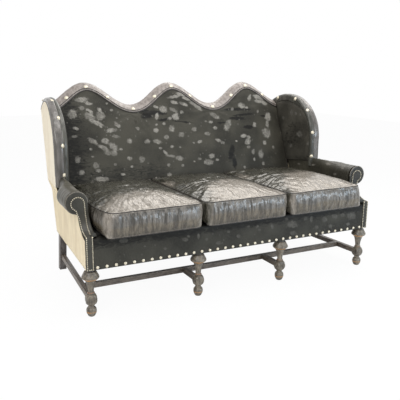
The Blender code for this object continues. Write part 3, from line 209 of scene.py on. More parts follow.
def roll_half(y):
    """Half the arm roll's width, which changes from the front's to the wing's."""
    narrow = (wing_x(np.maximum(y, TAPER_END)) - WING_LEDGE - ROLL_INNER_X) / 2
    return ROLL_RADIUS + (narrow - ROLL_RADIUS) * ease((y - TAPER_START) / (TAPER_END - TAPER_START))


def crest_slope(x):
    return -CREST_WAVE * CREST_TURN * np.sin(CREST_TURN * x)


def crest_point(x, drop=0.0):
    """Place across and height of the crest's wave at x, moved down square to it."""
    length = np.hypot(1.0, crest_slope(x))
    z = CREST_MEAN + CREST_WAVE * np.cos(CREST_TURN * x)
    return x + drop * crest_slope(x) / length, z - drop / length


def wing_top(y, inset=0.0):
    """Height of the wing's edge at depth y, moved inwards by this inset."""
    reach, rise = WING_CROWN_Y - WING_FRONT_Y - inset, WING_TOP - WING_SPRING - inset
    ahead = np.clip((WING_CROWN_Y - y) / reach, 0.0, 1.0)
    behind = np.maximum(y - WING_CROWN_Y, 0.0) / WING_RUN
    return np.where(y < WING_CROWN_Y, WING_SPRING + rise * np.sqrt(1 - ahead * ahead),
                    WING_TOP - inset - WING_DROP * behind * behind)


def smooth_line(points, count):
    """Points of a curve through these, evenly spread by number."""
    points = np.array(points, dtype=float)
    spread = np.linspace(0, len(points) - 1, count)
    low = np.clip(spread.astype(int), 0, len(points) - 2)
    t = (spread - low)[:, None]
    before, after = points[np.maximum(low - 1, 0)], points[np.minimum(low + 2, len(points) - 1)]
    a, b = points[low], points[low + 1]
    return 0.5 * (2 * a + (b - before) * t + (2 * before - 5 * a + 4 * b - after) * t ** 2
                  + (3 * a - before - 3 * b + after) * t ** 3)


def run_length(line):
    return np.concatenate([[0], np.cumsum(np.linalg.norm(np.diff(line, axis=0), axis=1))])


def even_line(line, count):
    """The same line as this many points in even steps."""
    length = run_length(line)
    even = np.linspace(0, length[-1], count)
    return np.stack([np.interp(even, length, column) for column in line.T], axis=-1)


# Meshes

def cloud(points, scale, seed=0.0, octaves=3):
    """Smooth noise from about -1 to 1 at each point, for a scale in waves per metre along each axis."""
    flat = (points.reshape(-1, 3) * np.array(scale) + seed).tolist()
    values = [noise.fractal(Vector(place), 0.8, 2.0, octaves) for place in flat]
    return np.array(values).reshape(points.shape[:-1])


def surface_normals(grid):
    normal = np.cross(np.gradient(grid, axis=0), np.gradient(grid, axis=1))
    return normal / np.maximum(np.linalg.norm(normal, axis=-1, keepdims=True), 1e-9)


def looks_away(grid, toward):
    return surface_normals(grid).mean(axis=(0, 1)) @ np.array(toward) < 0


def outward(grid, toward):
    """Normals of a grid on the side that looks towards the given direction."""
    return -surface_normals(grid) if looks_away(grid, toward) else surface_normals(grid)


def pushed(grid, push, toward):
    return grid + outward(grid, toward) * push[..., None]


def new_piece(name, points, faces, material, body="sofa"):
    """One mesh piece in the frame, from points drawn in the sofa's own depth."""
    mesh = bpy.data.meshes.new(name)
    points = np.array(points, dtype=float) + (0.0, SHIFT, 0.0)
    mesh.from_pydata(points.tolist(), [], faces)
    mesh.validate()
    mesh.update()
    mesh.polygons.foreach_set("use_smooth", [True] * len(mesh.polygons))
    mesh.materials.append(material)
    piece = add_object(name, mesh)
    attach(piece, body)
    return piece


def grid_faces(rows, columns, start=0, flip=False):
    index = np.arange(rows * columns).reshape(rows, columns) + start
    quads = np.stack([index[:-1, :-1], index[1:, :-1], index[1:, 1:], index[:-1, 1:]], axis=-1).reshape(-1, 4)
    return (quads[:, ::-1] if flip else quads).tolist()


def ring_faces(rings, steps, start=0, closed=False):
    """Quads from each ring of points to the next."""
    faces = []
    for ring in range(rings if closed else rings - 1):
        far = ((ring + 1) % rings - ring) * steps
        for step in range(steps):
            a, b = start + ring * steps + step, start + ring * steps + (step + 1) % steps
            faces.append((a, b, b + far, a + far))
    return faces


def capped_faces(rings, steps, flip=False):
    """Quads between rings with both ends closed, turned over if the rings run the other way."""
    last = (rings - 1) * steps
    faces = ring_faces(rings, steps) + [tuple(range(steps))[::-1], tuple(range(last, last + steps))]
    return [face[:1] + face[:0:-1] for face in faces] if flip else faces


def split_edges(piece, degrees=50):
    edge = piece.modifiers.new("edges", "EDGE_SPLIT")
    edge.split_angle = math.radians(degrees)


def store(piece, name, values):
    """Keeps one number at each point of a piece, for its material."""
    layer = piece.data.attributes.new(name, "FLOAT", "POINT")
    layer.data.foreach_set("value", np.asarray(values, dtype=float))


def shell(name, grid, thickness, material, slot, toward, **fields):
    """A closed skin: the grid is its outer face, which looks towards the given direction."""
    if looks_away(grid, toward):
        grid, fields = grid[::-1], {key: value[::-1] for key, value in fields.items()}
    rows, columns = grid.shape[:2]
    count = rows * columns
    points = np.concatenate([grid.reshape(-1, 3), (grid - surface_normals(grid) * thickness).reshape(-1, 3)])
    faces = grid_faces(rows, columns) + grid_faces(rows, columns, count, flip=True)
    index = np.arange(count).reshape(rows, columns)
    border = list(index[0, :]) + list(index[1:, -1]) + list(index[-1, -2::-1]) + list(index[-2:0:-1, 0])
    for a, b in zip(border, border[1:] + border[:1]):
        faces.append((int(a), int(b), int(b) + count, int(a) + count))
    piece = new_piece(name, points, faces, material)
    for key, value in fields.items():
        store(piece, key, np.concatenate([value.ravel(), value.ravel()]))
    split_edges(piece)
    return piece


def tube(name, path, radius, material, sides=8, closed=False, body="sofa"):
    """A round cord of leather along a path, with closed ends."""
    path = np.array(path, dtype=float)
    tangent = np.roll(path, -1, axis=0) - np.roll(path, 1, axis=0) if closed else np.gradient(path, axis=0)
    tangent /= np.linalg.norm(tangent, axis=1, keepdims=True)
    side = np.cross(tangent[0], (0.0, 0.0, 1.0))
    if np.linalg.norm(side) < 0.2:
        side = np.cross(tangent[0], (0.0, 1.0, 0.0))
    points = []
    for place, direction in zip(path, tangent):
        side = side - direction * (side @ direction)
        side = side / np.linalg.norm(side)
        other = np.cross(direction, side)
        for step in range(sides):
            angle = 2 * math.pi * step / sides
            points.append(place + radius * (side * math.cos(angle) + other * math.sin(angle)))
    faces = ring_faces(len(path), sides, closed=True) if closed else capped_faces(len(path), sides)
    return new_piece(name, points, faces, material, body)


def nails(name, seats, size, material):
    """A row of domed nails as one piece; each seat is a place and the way that its dome looks."""
    radius, height = size
    profile, steps = (SMALL_DOME, 8) if radius < SMALL_NAIL else (DOME, 14)
    points, faces = [], []
    for place, way in seats:
        turn = Vector((0, 0, 1)).rotation_difference(Vector(way).normalized())
        first, top = len(points), len(points) + (len(profile) - 1) * steps
        for share, rise in profile:
            for step in range(steps):
                angle = 2 * math.pi * step / steps
                x, y = share * radius * math.cos(angle), share * radius * math.sin(angle)
                local = Vector((x, y, rise * height))
                points.append(Vector(place) + turn @ local)
        points.append(Vector(place) + turn @ Vector((0, 0, height)))
        faces += ring_faces(len(profile), steps, first)
        faces += [(top + step, top + (step + 1) % steps, len(points) - 1) for step in range(steps)]
        faces.append(tuple(range(first + steps - 1, first - 1, -1)))
    return new_piece(name, points, faces, material)


def applied(piece):
    """Makes a piece's modifiers part of its mesh."""
    graph = bpy.context.evaluated_depsgraph_get()
    mesh = bpy.data.meshes.new_from_object(piece.evaluated_get(graph))
    piece.modifiers.clear()
    piece.data = mesh


# Materials

def add_node(tree, kind, inputs=None, **settings):
    node = tree.nodes.new("ShaderNode" + kind)
    for key, value in settings.items():
        setattr(node, key, value)
    for key, value in (inputs or {}).items():
        if isinstance(value, bpy.types.NodeSocket):
            tree.links.new(value, node.inputs[key])
        else:
            node.inputs[key].default_value = value
    return node


class Finish:
    """A small helper that writes one procedural material."""

    def __init__(self, name, **values):
        self.material = bpy.data.materials.new(name)
        self.material.use_nodes = True
        self.tree = self.material.node_tree
        self.surface = self.tree.nodes["Principled BSDF"]
        self.surface.inputs["Base Color"].default_value = (0.5, 0.5, 0.5, 1.0)
        for key, value in values.items():
            self.surface.inputs[key.replace("_", " ")].default_value = value
        self.place = self.node("TexCoord").outputs["Object"]

    def node(self, kind, inputs=None, **settings):
        return add_node(self.tree, kind, inputs, **settings)

    def scaled(self, scale):
        """The place in waves per metre along each axis."""
        scale = scale if isinstance(scale, tuple) else (scale, scale, scale)
        return self.node("Mapping", {"Vector": self.place, "Scale": scale}).outputs[0]

    def noise(self, scale, detail=3.0, rough=0.5, distortion=0.0):
        inputs = {"Vector": self.scaled(scale), "Scale": 1.0}
        inputs.update({"Detail": detail, "Roughness": rough, "Distortion": distortion})
        return self.node("TexNoise", inputs).outputs[0]

    def cells(self, scale, feature="F1"):
        inputs = {"Vector": self.scaled(scale), "Scale": 1.0}
        return self.node("TexVoronoi", inputs, feature=feature).outputs["Distance"]

    def stored(self, name):
        return self.node("Attribute", attribute_name=name).outputs["Fac"]

    def join(self, a, b, operation="ADD"):
        return self.node("Math", {0: a, 1: b}, operation=operation).outputs[0]

    def times(self, a, b):
        return self.join(a, b, "MULTIPLY")

    def sway(self, value, amount):
        """Noise moved to lie about 0, times this amount."""
        return self.times(self.join(value, 0.5, "SUBTRACT"), amount)

    def step(self, value, low, high, to_low=0.0, to_high=1.0):
        """Goes smoothly from one value to another while the input goes from low to high."""
        inputs = {"Value": value, "From Min": low, "From Max": high, "To Min": to_low, "To Max": to_high}
        return self.node("MapRange", inputs, interpolation_type="SMOOTHSTEP").outputs[0]

    def mix(self, factor, a, b):
        a, b = (colour if isinstance(colour, bpy.types.NodeSocket) else (*colour, 1.0) for colour in (a, b))
        return self.node("Mix", {0: factor, 6: a, 7: b}, data_type="RGBA").outputs[2]

    def set(self, socket, value):
        self.tree.links.new(value, self.surface.inputs[socket])

    def bump(self, height, distance, strength, after=None):
        inputs = {"Height": height, "Distance": distance, "Strength": strength}
        if after is not None:
            inputs["Normal"] = after
        result = self.node("Bump", inputs).outputs[0]
        self.set("Normal", result)
        return result


def tinted(colour, share):
    return tuple(part * share for part in colour)


def hide_finish(name, dark, silver, flecks=0.0, gloss=0.20, rough=0.50):
    """Short dark hair, with silver-grey patches where a stored field is high and painted shade where another
    stored field is high.
    """
    f = Finish(name, Roughness=rough, Specular_IOR_Level=gloss)
    broad, ragged, fine = f.noise(5.0, 2.0), f.noise(60.0, 3.0, 0.6, 0.4), f.noise(260.0, 2.0)
    hair = f.noise((620.0, 620.0, 90.0), 2.0, 0.6)
    field = f.join(f.join(f.stored("patch"), f.sway(ragged, 1.35)), f.sway(fine, 0.35))
    patch = f.times(f.step(field, -0.08, 0.38), f.step(f.noise(19.0, 2.0), 0.38, 0.60, 0.50, 1.0))
    cell = f.join(f.cells((34.0, 34.0, 30.0)), f.sway(ragged, 0.5))
    scatter = f.times(f.step(cell, 0.20, 0.10), f.step(f.noise(9.0, 1.0), 0.46, 0.60))
    patch = f.join(patch, f.times(scatter, 0.30 + flecks), "MAXIMUM")
    ground = f.mix(f.step(broad, 0.34, 0.66), tinted(dark, 0.55), tinted(dark, 1.55))
    ground = f.mix(f.times(f.step(hair, 0.35, 0.75), 0.40), ground, tinted(dark, 2.6))
    # Painted shade: where the stored shade field is high the ground goes nearly black, with torn edges.
    shade = f.stored("shade")
    torn = f.join(shade, f.sway(f.noise((30.0, 30.0, 90.0), 4.0, 0.65, 0.8), 1.6))
    shaded = f.times(f.step(torn, 0.25, 0.85), f.step(shade, 0.0, 0.30))
    ground = f.mix(shaded, ground, tinted(dark, 0.18))
    pale = f.mix(f.step(f.noise(120.0, 3.0), 0.35, 0.65), silver, tinted(silver, 0.62))
    f.set("Base Color", f.mix(patch, ground, pale))
    f.set("Roughness", f.step(patch, 0.0, 1.0, rough, rough + 0.14))
    f.bump(ragged, 0.0012, 0.35, f.bump(hair, 0.0006, 0.5))
    return f.material


def leather_finish(name, dark, pale, along, gloss, coat, depth=0.0016, contrast=0.55):
    """Soft leather whose creases run the way that its noise is drawn out."""
    f = Finish(name, Roughness=gloss, Coat_Weight=coat, Coat_Roughness=0.25, Specular_IOR_Level=0.45)
    crease, broad = f.noise(along, 4.0, 0.55, 0.3), f.noise(9.0, 3.0)
    fine = f.noise(tinted(along, 3.0), 3.0, 0.6, 0.2)
    shade = f.join(f.times(f.step(crease, 0.30, 0.70), contrast), f.times(broad, 1.0 - contrast))
    colour = f.mix(f.step(shade, 0.15, 0.85), dark, pale)
    f.set("Base Color", f.mix(f.times(f.step(fine, 0.62, 0.72), 0.35), colour, tinted(dark, 0.5)))
    f.set("Roughness", f.step(crease, 0.25, 0.75, gloss + 0.10, gloss - 0.08))
    relief = f.bump(fine, depth * 0.35, 0.6, f.bump(crease, depth, 0.8))
    f.bump(f.noise(620.0, 2.0), 0.0003, 0.3, relief)
    return f.material


def cushion_finish(name):
    """Glossy crinkled leather: olive at the rear of the top with a painted silver sheen towards the front, a
    painted reflection on the upper boxing and brown at the foot.
    """
    f = Finish(name, Roughness=0.30, Coat_Weight=0.35, Coat_Roughness=0.14, Specular_IOR_Level=0.5)
    painted_highlight, boxing, height = f.stored("silver"), f.stored("boxing"), f.stored("foot")
    streak = f.noise((70.0, 13.0, 14.0), 4.0, 0.62, 0.5)
    hairline = f.noise((150.0, 20.0, 20.0), 3.0, 0.6, 0.4)
    crinkle = f.noise((140.0, 26.0, 34.0), 3.0, 0.6, 0.8)
    gather = f.noise((62.0, 62.0, 8.0), 3.0, 0.6, 0.4)
    broad = f.noise(7.0, 2.0)
    creases = f.step(f.cells((60.0, 26.0, 22.0), "DISTANCE_TO_EDGE"), 0.0, 0.12)
    # Olive is the leather's own dark tone; the silver after it is painted sheen, reflected light laid into
    # the front of the top.
    olive = f.mix(f.step(hairline, 0.36, 0.68), (0.022, 0.021, 0.015), (0.085, 0.080, 0.060))
    silver = f.mix(f.step(crinkle, 0.30, 0.60), (0.135, 0.117, 0.094), (0.300, 0.268, 0.228))
    silver = f.mix(f.times(f.step(hairline, 0.52, 0.70), 0.50), silver, (0.095, 0.080, 0.062))
    brown = f.mix(f.step(gather, 0.36, 0.64), (0.050, 0.040, 0.027), (0.150, 0.126, 0.090))
    # Painted reflection: the boxing's upper part gets its own taupe colour, the lower part the brown.
    taupe = f.mix(f.step(gather, 0.36, 0.64), (0.042, 0.038, 0.031), (0.160, 0.146, 0.128))
    # Where the painted sheen lies on the top: the stored silver field, made ragged by streaks.
    edge = f.join(f.join(painted_highlight, f.sway(streak, 0.85)), f.sway(broad, 0.35))
    top_with_painted_sheen = f.mix(f.step(edge, 0.28, 0.74), olive, silver)
    box = f.mix(f.step(f.join(height, f.sway(broad, 0.35)), 0.46, 0.60), taupe, brown)
    # Painted shade: the boxing darkens towards its foot.
    box = f.mix(f.step(height, 0.68, 1.0, 0.0, 0.6), box, (0.020, 0.017, 0.012))
    f.set("Base Color", f.mix(boxing, top_with_painted_sheen, box))
    shine = f.join(f.step(edge, 0.20, 0.80), boxing, "MAXIMUM")
    f.set("Metallic", f.step(boxing, 0.0, 1.0, 0.26, 0.12))
    f.set("Roughness", f.join(f.step(crinkle, 0.3, 0.7, 0.40, 0.22), f.step(shine, 0.0, 1.0, -0.06, 0.0)))
    relief = f.bump(streak, 0.0030, f.step(shine, 0.0, 1.0, 0.25, 0.65))
    relief = f.bump(gather, 0.0030, f.step(boxing, 0.0, 1.0, 0.0, 0.9), relief)
    relief = f.bump(crinkle, 0.0019, f.step(shine, 0.3, 1.0, 0.12, 0.95), relief)
    relief = f.bump(creases, 0.0007, f.step(shine, 0.0, 1.0, 0.2, 0.5), relief)
    f.bump(f.noise(700.0, 2.0), 0.0002, 0.3, relief)
    return f.material


def suede_finish(name, pale, deep):
    f = Finish(name, Roughness=0.9, Specular_IOR_Level=0.15)
    nap = f.noise((9.0, 9.0, 4.0), 4.0, 0.6, 0.5)
    streak = f.noise((22.0, 22.0, 3.0), 3.0, 0.55, 0.3)
    grain = f.noise(420.0, 2.0, 0.6)
    colour = f.mix(f.step(f.join(f.times(nap, 0.6), f.times(streak, 0.4)), 0.32, 0.66), deep, pale)
    f.set("Base Color", f.mix(f.times(f.step(grain, 0.35, 0.7), 0.12), colour, (0.88, 0.80, 0.64)))
    f.bump(grain, 0.0004, 0.5, f.bump(nap, 0.004, 0.35))
    return f.material


def wood_finish(name, axis, base=(0.038, 0.031, 0.021), pale=(0.212, 0.180, 0.136), rims=()):
    """Weathered wood with its grain along one axis, tinted in bands at the given heights: rubbed orange rims
    and a near-black band just under the base.
    """
    f = Finish(name, Roughness=0.44, Coat_Weight=0.30, Coat_Roughness=0.26)
    stretch = tuple(10.0 if step == axis else 150.0 for step in range(3))
    grain, cloudy, pits = f.noise(stretch, 4.0, 0.65, 0.5), f.noise(28.0, 3.0, 0.55), f.noise(260.0, 3.0, 0.6)
    colour = f.mix(f.step(f.join(f.times(grain, 0.55), f.times(cloudy, 0.45)), 0.34, 0.64), base, pale)
    colour = f.mix(f.times(f.step(pits, 0.58, 0.70), 0.55), colour, (0.022, 0.017, 0.014))
    height = f.node("SeparateXYZ", {0: f.place}).outputs[2]
    for centre, width, tint in rims:
        away = f.node("Math", {0: f.join(height, centre, "SUBTRACT")}, operation="ABSOLUTE").outputs[0]
        away = f.join(away, f.sway(cloudy, width * 2.2))
        colour = f.mix(f.times(f.step(away, width, width * 0.35), 0.85), colour, tint)
    f.set("Base Color", colour)
    f.set("Roughness", f.step(cloudy, 0.3, 0.7, 0.34, 0.60))
    f.bump(pits, 0.0006, 0.5, f.bump(grain, 0.0010, 0.6))
    return f.material


def plain_finish(name, dark, pale, scale, rough, metal=0.0, depth=0.0004):
    f = Finish(name, Roughness=rough, Metallic=metal)
    value = f.noise(scale, 4.0, 0.6, 0.3)
    f.set("Base Color", f.mix(f.step(value, 0.32, 0.68), dark, pale))
    f.set("Roughness", f.step(value, 0.3, 0.7, min(1.0, rough + 0.08), rough - 0.08))
    f.bump(value, depth, 0.5)
    return f.material


HIDE_BACK = hide_finish("hide_back", (0.033, 0.031, 0.024), (0.300, 0.284, 0.250))
HIDE_APRON = hide_finish("hide_apron", (0.026, 0.025, 0.020), (0.096, 0.092, 0.080), 0.15)
HIDE_SIDE = hide_finish("hide_side", (0.046, 0.043, 0.035), (0.150, 0.143, 0.125))
HIDE_FRONT = hide_finish("hide_front", (0.024, 0.023, 0.018), (0.075, 0.072, 0.064), 0.0, 0.35, 0.42)
ARM_LEATHER = hide_finish("hide_arm", (0.040, 0.037, 0.027), (0.190, 0.175, 0.150), 0.0, 0.45, 0.36)
BAND = leather_finish(
    "band_leather", (0.170, 0.146, 0.130), (0.300, 0.265, 0.242), (60.0, 40.0, 12.0), 0.40, 0.15)
WING_LEATHER = leather_finish(
    "wing_leather", (0.060, 0.055, 0.047), (0.165, 0.150, 0.138), (46.0, 46.0, 7.0), 0.28, 0.5)
ROLL_HIDE = leather_finish(
    "wing_roll", (0.034, 0.034, 0.027), (0.082, 0.080, 0.066), (40.0, 40.0, 9.0), 0.36, 0.2)
CUSHION = cushion_finish("cushion_leather")
WELT = plain_finish("welt_leather", (0.014, 0.012, 0.010), (0.040, 0.033, 0.028), 160.0, 0.42)
PIPING = plain_finish("piping_leather", (0.075, 0.068, 0.055), (0.190, 0.172, 0.142), 120.0, 0.36)
SUEDE_SKIN = suede_finish("suede", (0.92, 0.805, 0.585), (0.76, 0.645, 0.455))
# A lighter copy of the same suede for the wings' outer faces, as painted light.
SUEDE_WING_LIT = suede_finish("suede_wing_lit", (1.0, 0.92, 0.76), (0.90, 0.80, 0.63))
SUEDE_BACK = suede_finish("suede_back", (0.72, 0.62, 0.46), (0.58, 0.49, 0.35))
NAIL = plain_finish("nail_heads", (0.52, 0.46, 0.33), (0.86, 0.80, 0.66), 330.0, 0.30, 0.35)
BEAD = plain_finish("bead_heads", (0.50, 0.44, 0.31), (0.84, 0.77, 0.61), 400.0, 0.34, 0.30)
RIMS = (
    (0.2045, 0.0052, (0.56, 0.27, 0.075)), (0.0240, 0.0042, (0.42, 0.21, 0.07)),
    (0.2500, 0.0050, (0.014, 0.011, 0.010)), (0.1300, 0.0020, (0.25, 0.11, 0.05)),
)
WOOD_TURNED = wood_finish("wood_turned", 2, rims=RIMS)
WOOD_LONG = wood_finish("wood_long", 0, (0.066, 0.051, 0.039), (0.180, 0.147, 0.116))
WOOD_SIDE = wood_finish("wood_side", 1, (0.066, 0.051, 0.039), (0.180, 0.147, 0.116))
WOOD_REAR = wood_finish("wood_rear", 2, (0.062, 0.052, 0.045), (0.150, 0.135, 0.128))
FRAME_WOOD = wood_finish("frame_wood", 0, (0.34, 0.23, 0.13), (0.52, 0.38, 0.24))
# Near-black wood as painted shade, for frame pieces that show through gaps between the covers.
WOOD_DARK_AS_SHADOW = wood_finish("frame_wood_dark_as_shadow", 2, (0.020, 0.017, 0.014), (0.045, 0.038, 0.030))
STEEL = plain_finish("spring_steel", (0.32, 0.32, 0.33), (0.52, 0.52, 0.53), 90.0, 0.38, 1.0)
# A real deck cloth, made near-black as painted shadow where it shows in the gap beside the cushions.
DECK_CLOTH_SHADOW_BLACK = plain_finish("deck_cloth_shadow_black", (0.012, 0.012, 0.011), (0.026, 0.026, 0.023), 700.0, 0.9)
FELT = plain_finish("cotton_felt", (0.62, 0.58, 0.47), (0.82, 0.78, 0.67), 60.0, 0.95, 0.0, 0.002)
BLACK_CLOTH = plain_finish("black_cloth", (0.014, 0.014, 0.016), (0.034, 0.034, 0.038), 900.0, 0.92)


# Silver patches of the hide, by their places in the picture

PATCH_SCALE = 4.48
PATCH_CORNER = (40.0, 70.0)

# Place in picture pixels, scaled by PATCH_SCALE from PATCH_CORNER, full length and width, turn in degrees
BACK_PATCHES = (
    (185, 133, 52, 20, -5), (216, 150, 34, 13, 10), (145, 198, 34, 42, 60), (186, 170, 24, 17, 20),
    (222, 208, 48, 28, 20), (270, 206, 36, 34, 0), (250, 235, 62, 20, 22), (266, 178, 24, 14, 40),
    (228, 186, 22, 12, 20), (320, 180, 16, 12, 0), (346, 245, 32, 15, 42), (320, 270, 46, 18, -8),
    (275, 255, 15, 10, 0), (160, 262, 27, 11, 20), (155, 298, 28, 11, -10), (235, 318, 42, 18, 25),
    (292, 318, 32, 22, 20), (340, 298, 32, 13, 5), (330, 345, 42, 28, 40), (285, 350, 52, 18, 30),
    (228, 355, 13, 10, 0), (303, 372, 30, 18, 10), (332, 374, 28, 22, 0), (362, 355, 15, 10, 20),
    (402, 318, 22, 20, 0), (170, 402, 22, 30, 0), (235, 388, 14, 8, 0), (252, 428, 27, 24, 0),
    (262, 452, 20, 15, 0), (402, 396, 20, 17, 0), (457, 400, 24, 27, 0), (186, 460, 27, 22, 20),
    (278, 488, 60, 20, 0), (236, 512, 18, 24, 0), (338, 423, 12, 12, 0), (412, 432, 11, 10, 0),
    (372, 467, 20, 10, 0), (213, 178, 16, 9, 0), (300, 150, 14, 9, 0), (345, 215, 10, 8, 0),
    (600, 120, 52, 13, -8), (632, 108, 46, 14, 6), (655, 128, 38, 12, 20), (602, 145, 38, 13, 15),
    (642, 152, 40, 12, 20), (690, 155, 48, 13, 32), (708, 168, 40, 16, 32), (552, 176, 36, 26, 30),
    (520, 165, 24, 11, 20), (598, 180, 38, 14, 30), (608, 210, 30, 28, 0), (634, 188, 16, 14, 0),
    (580, 216, 20, 12, 0), (524, 208, 16, 28, 0), (522, 245, 12, 10, 0), (556, 240, 15, 12, 0),
    (520, 270, 20, 19, 0), (438, 262, 18, 12, 30), (590, 262, 22, 28, 0), (567, 300, 21, 19, 0),
    (526, 320, 34, 20, 15), (480, 320, 24, 19, 0), (635, 290, 26, 20, 0), (690, 265, 20, 18, 0),
    (671, 240, 10, 8, 0), (742, 230, 13, 8, 0), (765, 233, 16, 12, 0), (776, 200, 36, 15, 30),
    (792, 211, 32, 15, 15), (750, 285, 27, 14, 0), (715, 322, 22, 13, -20), (690, 326, 12, 8, 0),
    (540, 350, 14, 10, 0), (592, 343, 16, 12, 0), (562, 370, 26, 10, 40), (588, 386, 38, 11, 5),
    (625, 395, 30, 19, 10), (755, 412, 38, 24, 5), (770, 385, 25, 20, 0), (795, 402, 13, 10, 0),
    (715, 398, 16, 12, 0), (692, 410, 10, 8, 0), (577, 425, 14, 14, 0), (640, 428, 12, 12, 0),
    (580, 468, 20, 15, 0), (490, 495, 10, 14, 0), (520, 485, 10, 12, 0), (628, 345, 9, 8, 0),
    (980, 120, 50, 17, 8), (975, 140, 32, 12, 20), (938, 125, 14, 28, 20), (903, 160, 32, 22, 30),
    (926, 168, 14, 10, 0), (861, 175, 14, 13, 0), (1000, 145, 40, 15, 40), (1020, 210, 26, 36, 0),
    (1018, 240, 13, 28, 0), (960, 245, 14, 20, 0), (975, 185, 10, 14, 0), (840, 250, 26, 42, 15),
    (785, 260, 18, 15, 0), (1015, 280, 30, 42, -15), (912, 295, 28, 14, 0), (930, 320, 24, 28, 20),
    (935, 345, 14, 12, 0), (880, 318, 10, 8, 0), (800, 315, 26, 14, 20), (820, 326, 16, 13, 0),
    (990, 376, 21, 36, 0), (955, 366, 14, 22, 0), (1045, 345, 10, 14, 0), (918, 435, 12, 12, 0),
    (1000, 418, 12, 14, 0), (960, 400, 10, 14, 0), (1006, 325, 14, 20, 0), (935, 300, 16, 12, 40),
)
APRON_PATCHES = (
    (375, 765, 46, 24, -10), (650, 760, 32, 22, 0), (665, 745, 16, 14, 0), (710, 745, 12, 30, 0),
    (748, 760, 16, 14, 0), (760, 690, 30, 14, -10), (800, 775, 26, 18, -5), (845, 725, 16, 14, 0),
    (890, 745, 22, 18, 0), (935, 700, 14, 12, 0), (985, 716, 16, 14, 0), (975, 700, 12, 12, 0),
    (1040, 700, 16, 26, 0), (1130, 692, 54, 36, 0), (1135, 730, 36, 22, 0), (1190, 665, 20, 20, 0),
    (1216, 668, 16, 28, 0), (1240, 705, 20, 18, 0), (1276, 668, 26, 24, 0), (1320, 656, 32, 26, 0),
    (1356, 650, 22, 20, 0), (1395, 655, 44, 40, 0), (1300, 700, 22, 18, 0), (1060, 655, 18, 16, 0),
    (1105, 668, 14, 12, 0), (560, 800, 18, 12, 0), (470, 790, 16, 12, 0), (1380, 690, 22, 16, 0),
)
WING_PATCHES = (
    (1127, 190, 14, 28, 0), (1162, 287, 28, 30, 0), (1216, 205, 18, 18, 0), (1146, 195, 12, 18, 0),
    (1165, 200, 10, 12, 0), (1090, 215, 12, 18, 0), (1200, 330, 14, 20, 0), (1125, 340, 14, 18, 0),
)
ARM_PATCHES = (
    (1290, 420, 28, 12, 10), (1322, 466, 16, 12, 0), (1357, 440, 16, 10, 0), (150, 530, 46, 13, 15),
    (170, 556, 30, 10, 25), (1225, 425, 20, 10, 0), (1160, 420, 16, 9, 0), (195, 575, 20, 9, 40),
)

# Painted shade on the hide, over its folds and corners, placed the same way
BACK_PAINTED_SHADE = (
    (500, 190, 150, 26, 4), (478, 205, 60, 30, 0), (560, 222, 90, 14, -8), (885, 176, 150, 16, 0),
    (880, 217, 90, 16, 0), (912, 200, 110, 12, -6), (935, 255, 50, 22, 0), (858, 370, 30, 90, 8),
    (872, 415, 26, 60, -6), (1045, 150, 60, 24, 40), (125, 400, 24, 260, 0), (640, 232, 120, 9, 6),
    (820, 236, 70, 8, -4), (1000, 205, 60, 9, 4),
)
WING_PAINTED_SHADE = ((1130, 290, 110, 150, 0), (1180, 392, 90, 30, 0))


def patch_field(grid, patches, spread=1.0):
    """How deep inside a patch each point lies: 1 at its middle, 0 at its rim, below 0 outside."""
    across, down = picture_place(grid + (0.0, SHIFT, 0.0))
    across, down = (across - PATCH_CORNER[0]) * PATCH_SCALE, (down - PATCH_CORNER[1]) * PATCH_SCALE
    field = np.full(across.shape, -2.0)
    for x, y, length, width, degrees in patches:
        turn = math.radians(degrees)
        dx, dy = across - x, down - y
        along = (dx * math.cos(turn) + dy * math.sin(turn)) / (length * spread / 2)
        side = (dy * math.cos(turn) - dx * math.sin(turn)) / (width * spread / 2)
        field = np.maximum(field, 1 - np.sqrt(along ** 2 + side ** 2))
    return field


def painted_shade_field(grid, patches):
    """How much painted shade the hide gets at each point, from 0 to 0.9."""
    return 0.9 * ease((patch_field(grid, patches) + 0.35) / 0.95)


# Floor, light and world

def make_floor():
    f = Finish("floor", Roughness=0.9)
    f.set("Base Color", f.mix(f.step(f.noise(3.0), 0.3, 0.7), (0.93, 0.93, 0.93), (0.95, 0.95, 0.95)))
    paper = f.node("Emission", {"Color": (1, 1, 1, 1), "Strength": 1.0})
    seen = f.times(f.node("LightPath").outputs["Is Camera Ray"], 0.95)
    blend = f.node("MixShader", {0: seen, 1: f.surface.outputs[0], 2: paper.outputs[0]})
    f.tree.links.new(blend.outputs[0], f.tree.nodes["Material Output"].inputs[0])
    mesh = bpy.data.meshes.new("floor")
    mesh.from_pydata([(-9, -9, 0), (9, -9, 0), (9, 12, 0), (-9, 12, 0)], [], [(0, 1, 2, 3)])
    mesh.materials.append(f.material)
    add_object("floor", mesh)


def make_world():
    """White where the camera or a reflection sees it, and dimmer as a light."""
    world = bpy.data.worlds.new("studio")
    bpy.context.scene.world = world
    world.use_nodes = True
    tree = world.node_tree
    tree.nodes.clear()
    rays = add_node(tree, "LightPath").outputs
    seen = rays["Is Camera Ray"]
    for kind in ("Is Glossy Ray", "Is Transmission Ray"):
        seen = add_node(tree, "Math", {0: seen, 1: rays[kind]}, operation="MAXIMUM").outputs[0]
    white = add_node(tree, "Background", {0: (1, 1, 1, 1), 1: 1.0}).outputs[0]
    lit = add_node(tree, "Background", {0: (0.97, 0.98, 1, 1), 1: 0.55}).outputs[0]
    mix = add_node(tree, "MixShader", {0: seen, 1: lit, 2: white}).outputs[0]
    add_node(tree, "OutputWorld", {0: mix})
    bpy.context.scene.view_settings.view_transform = "Standard"


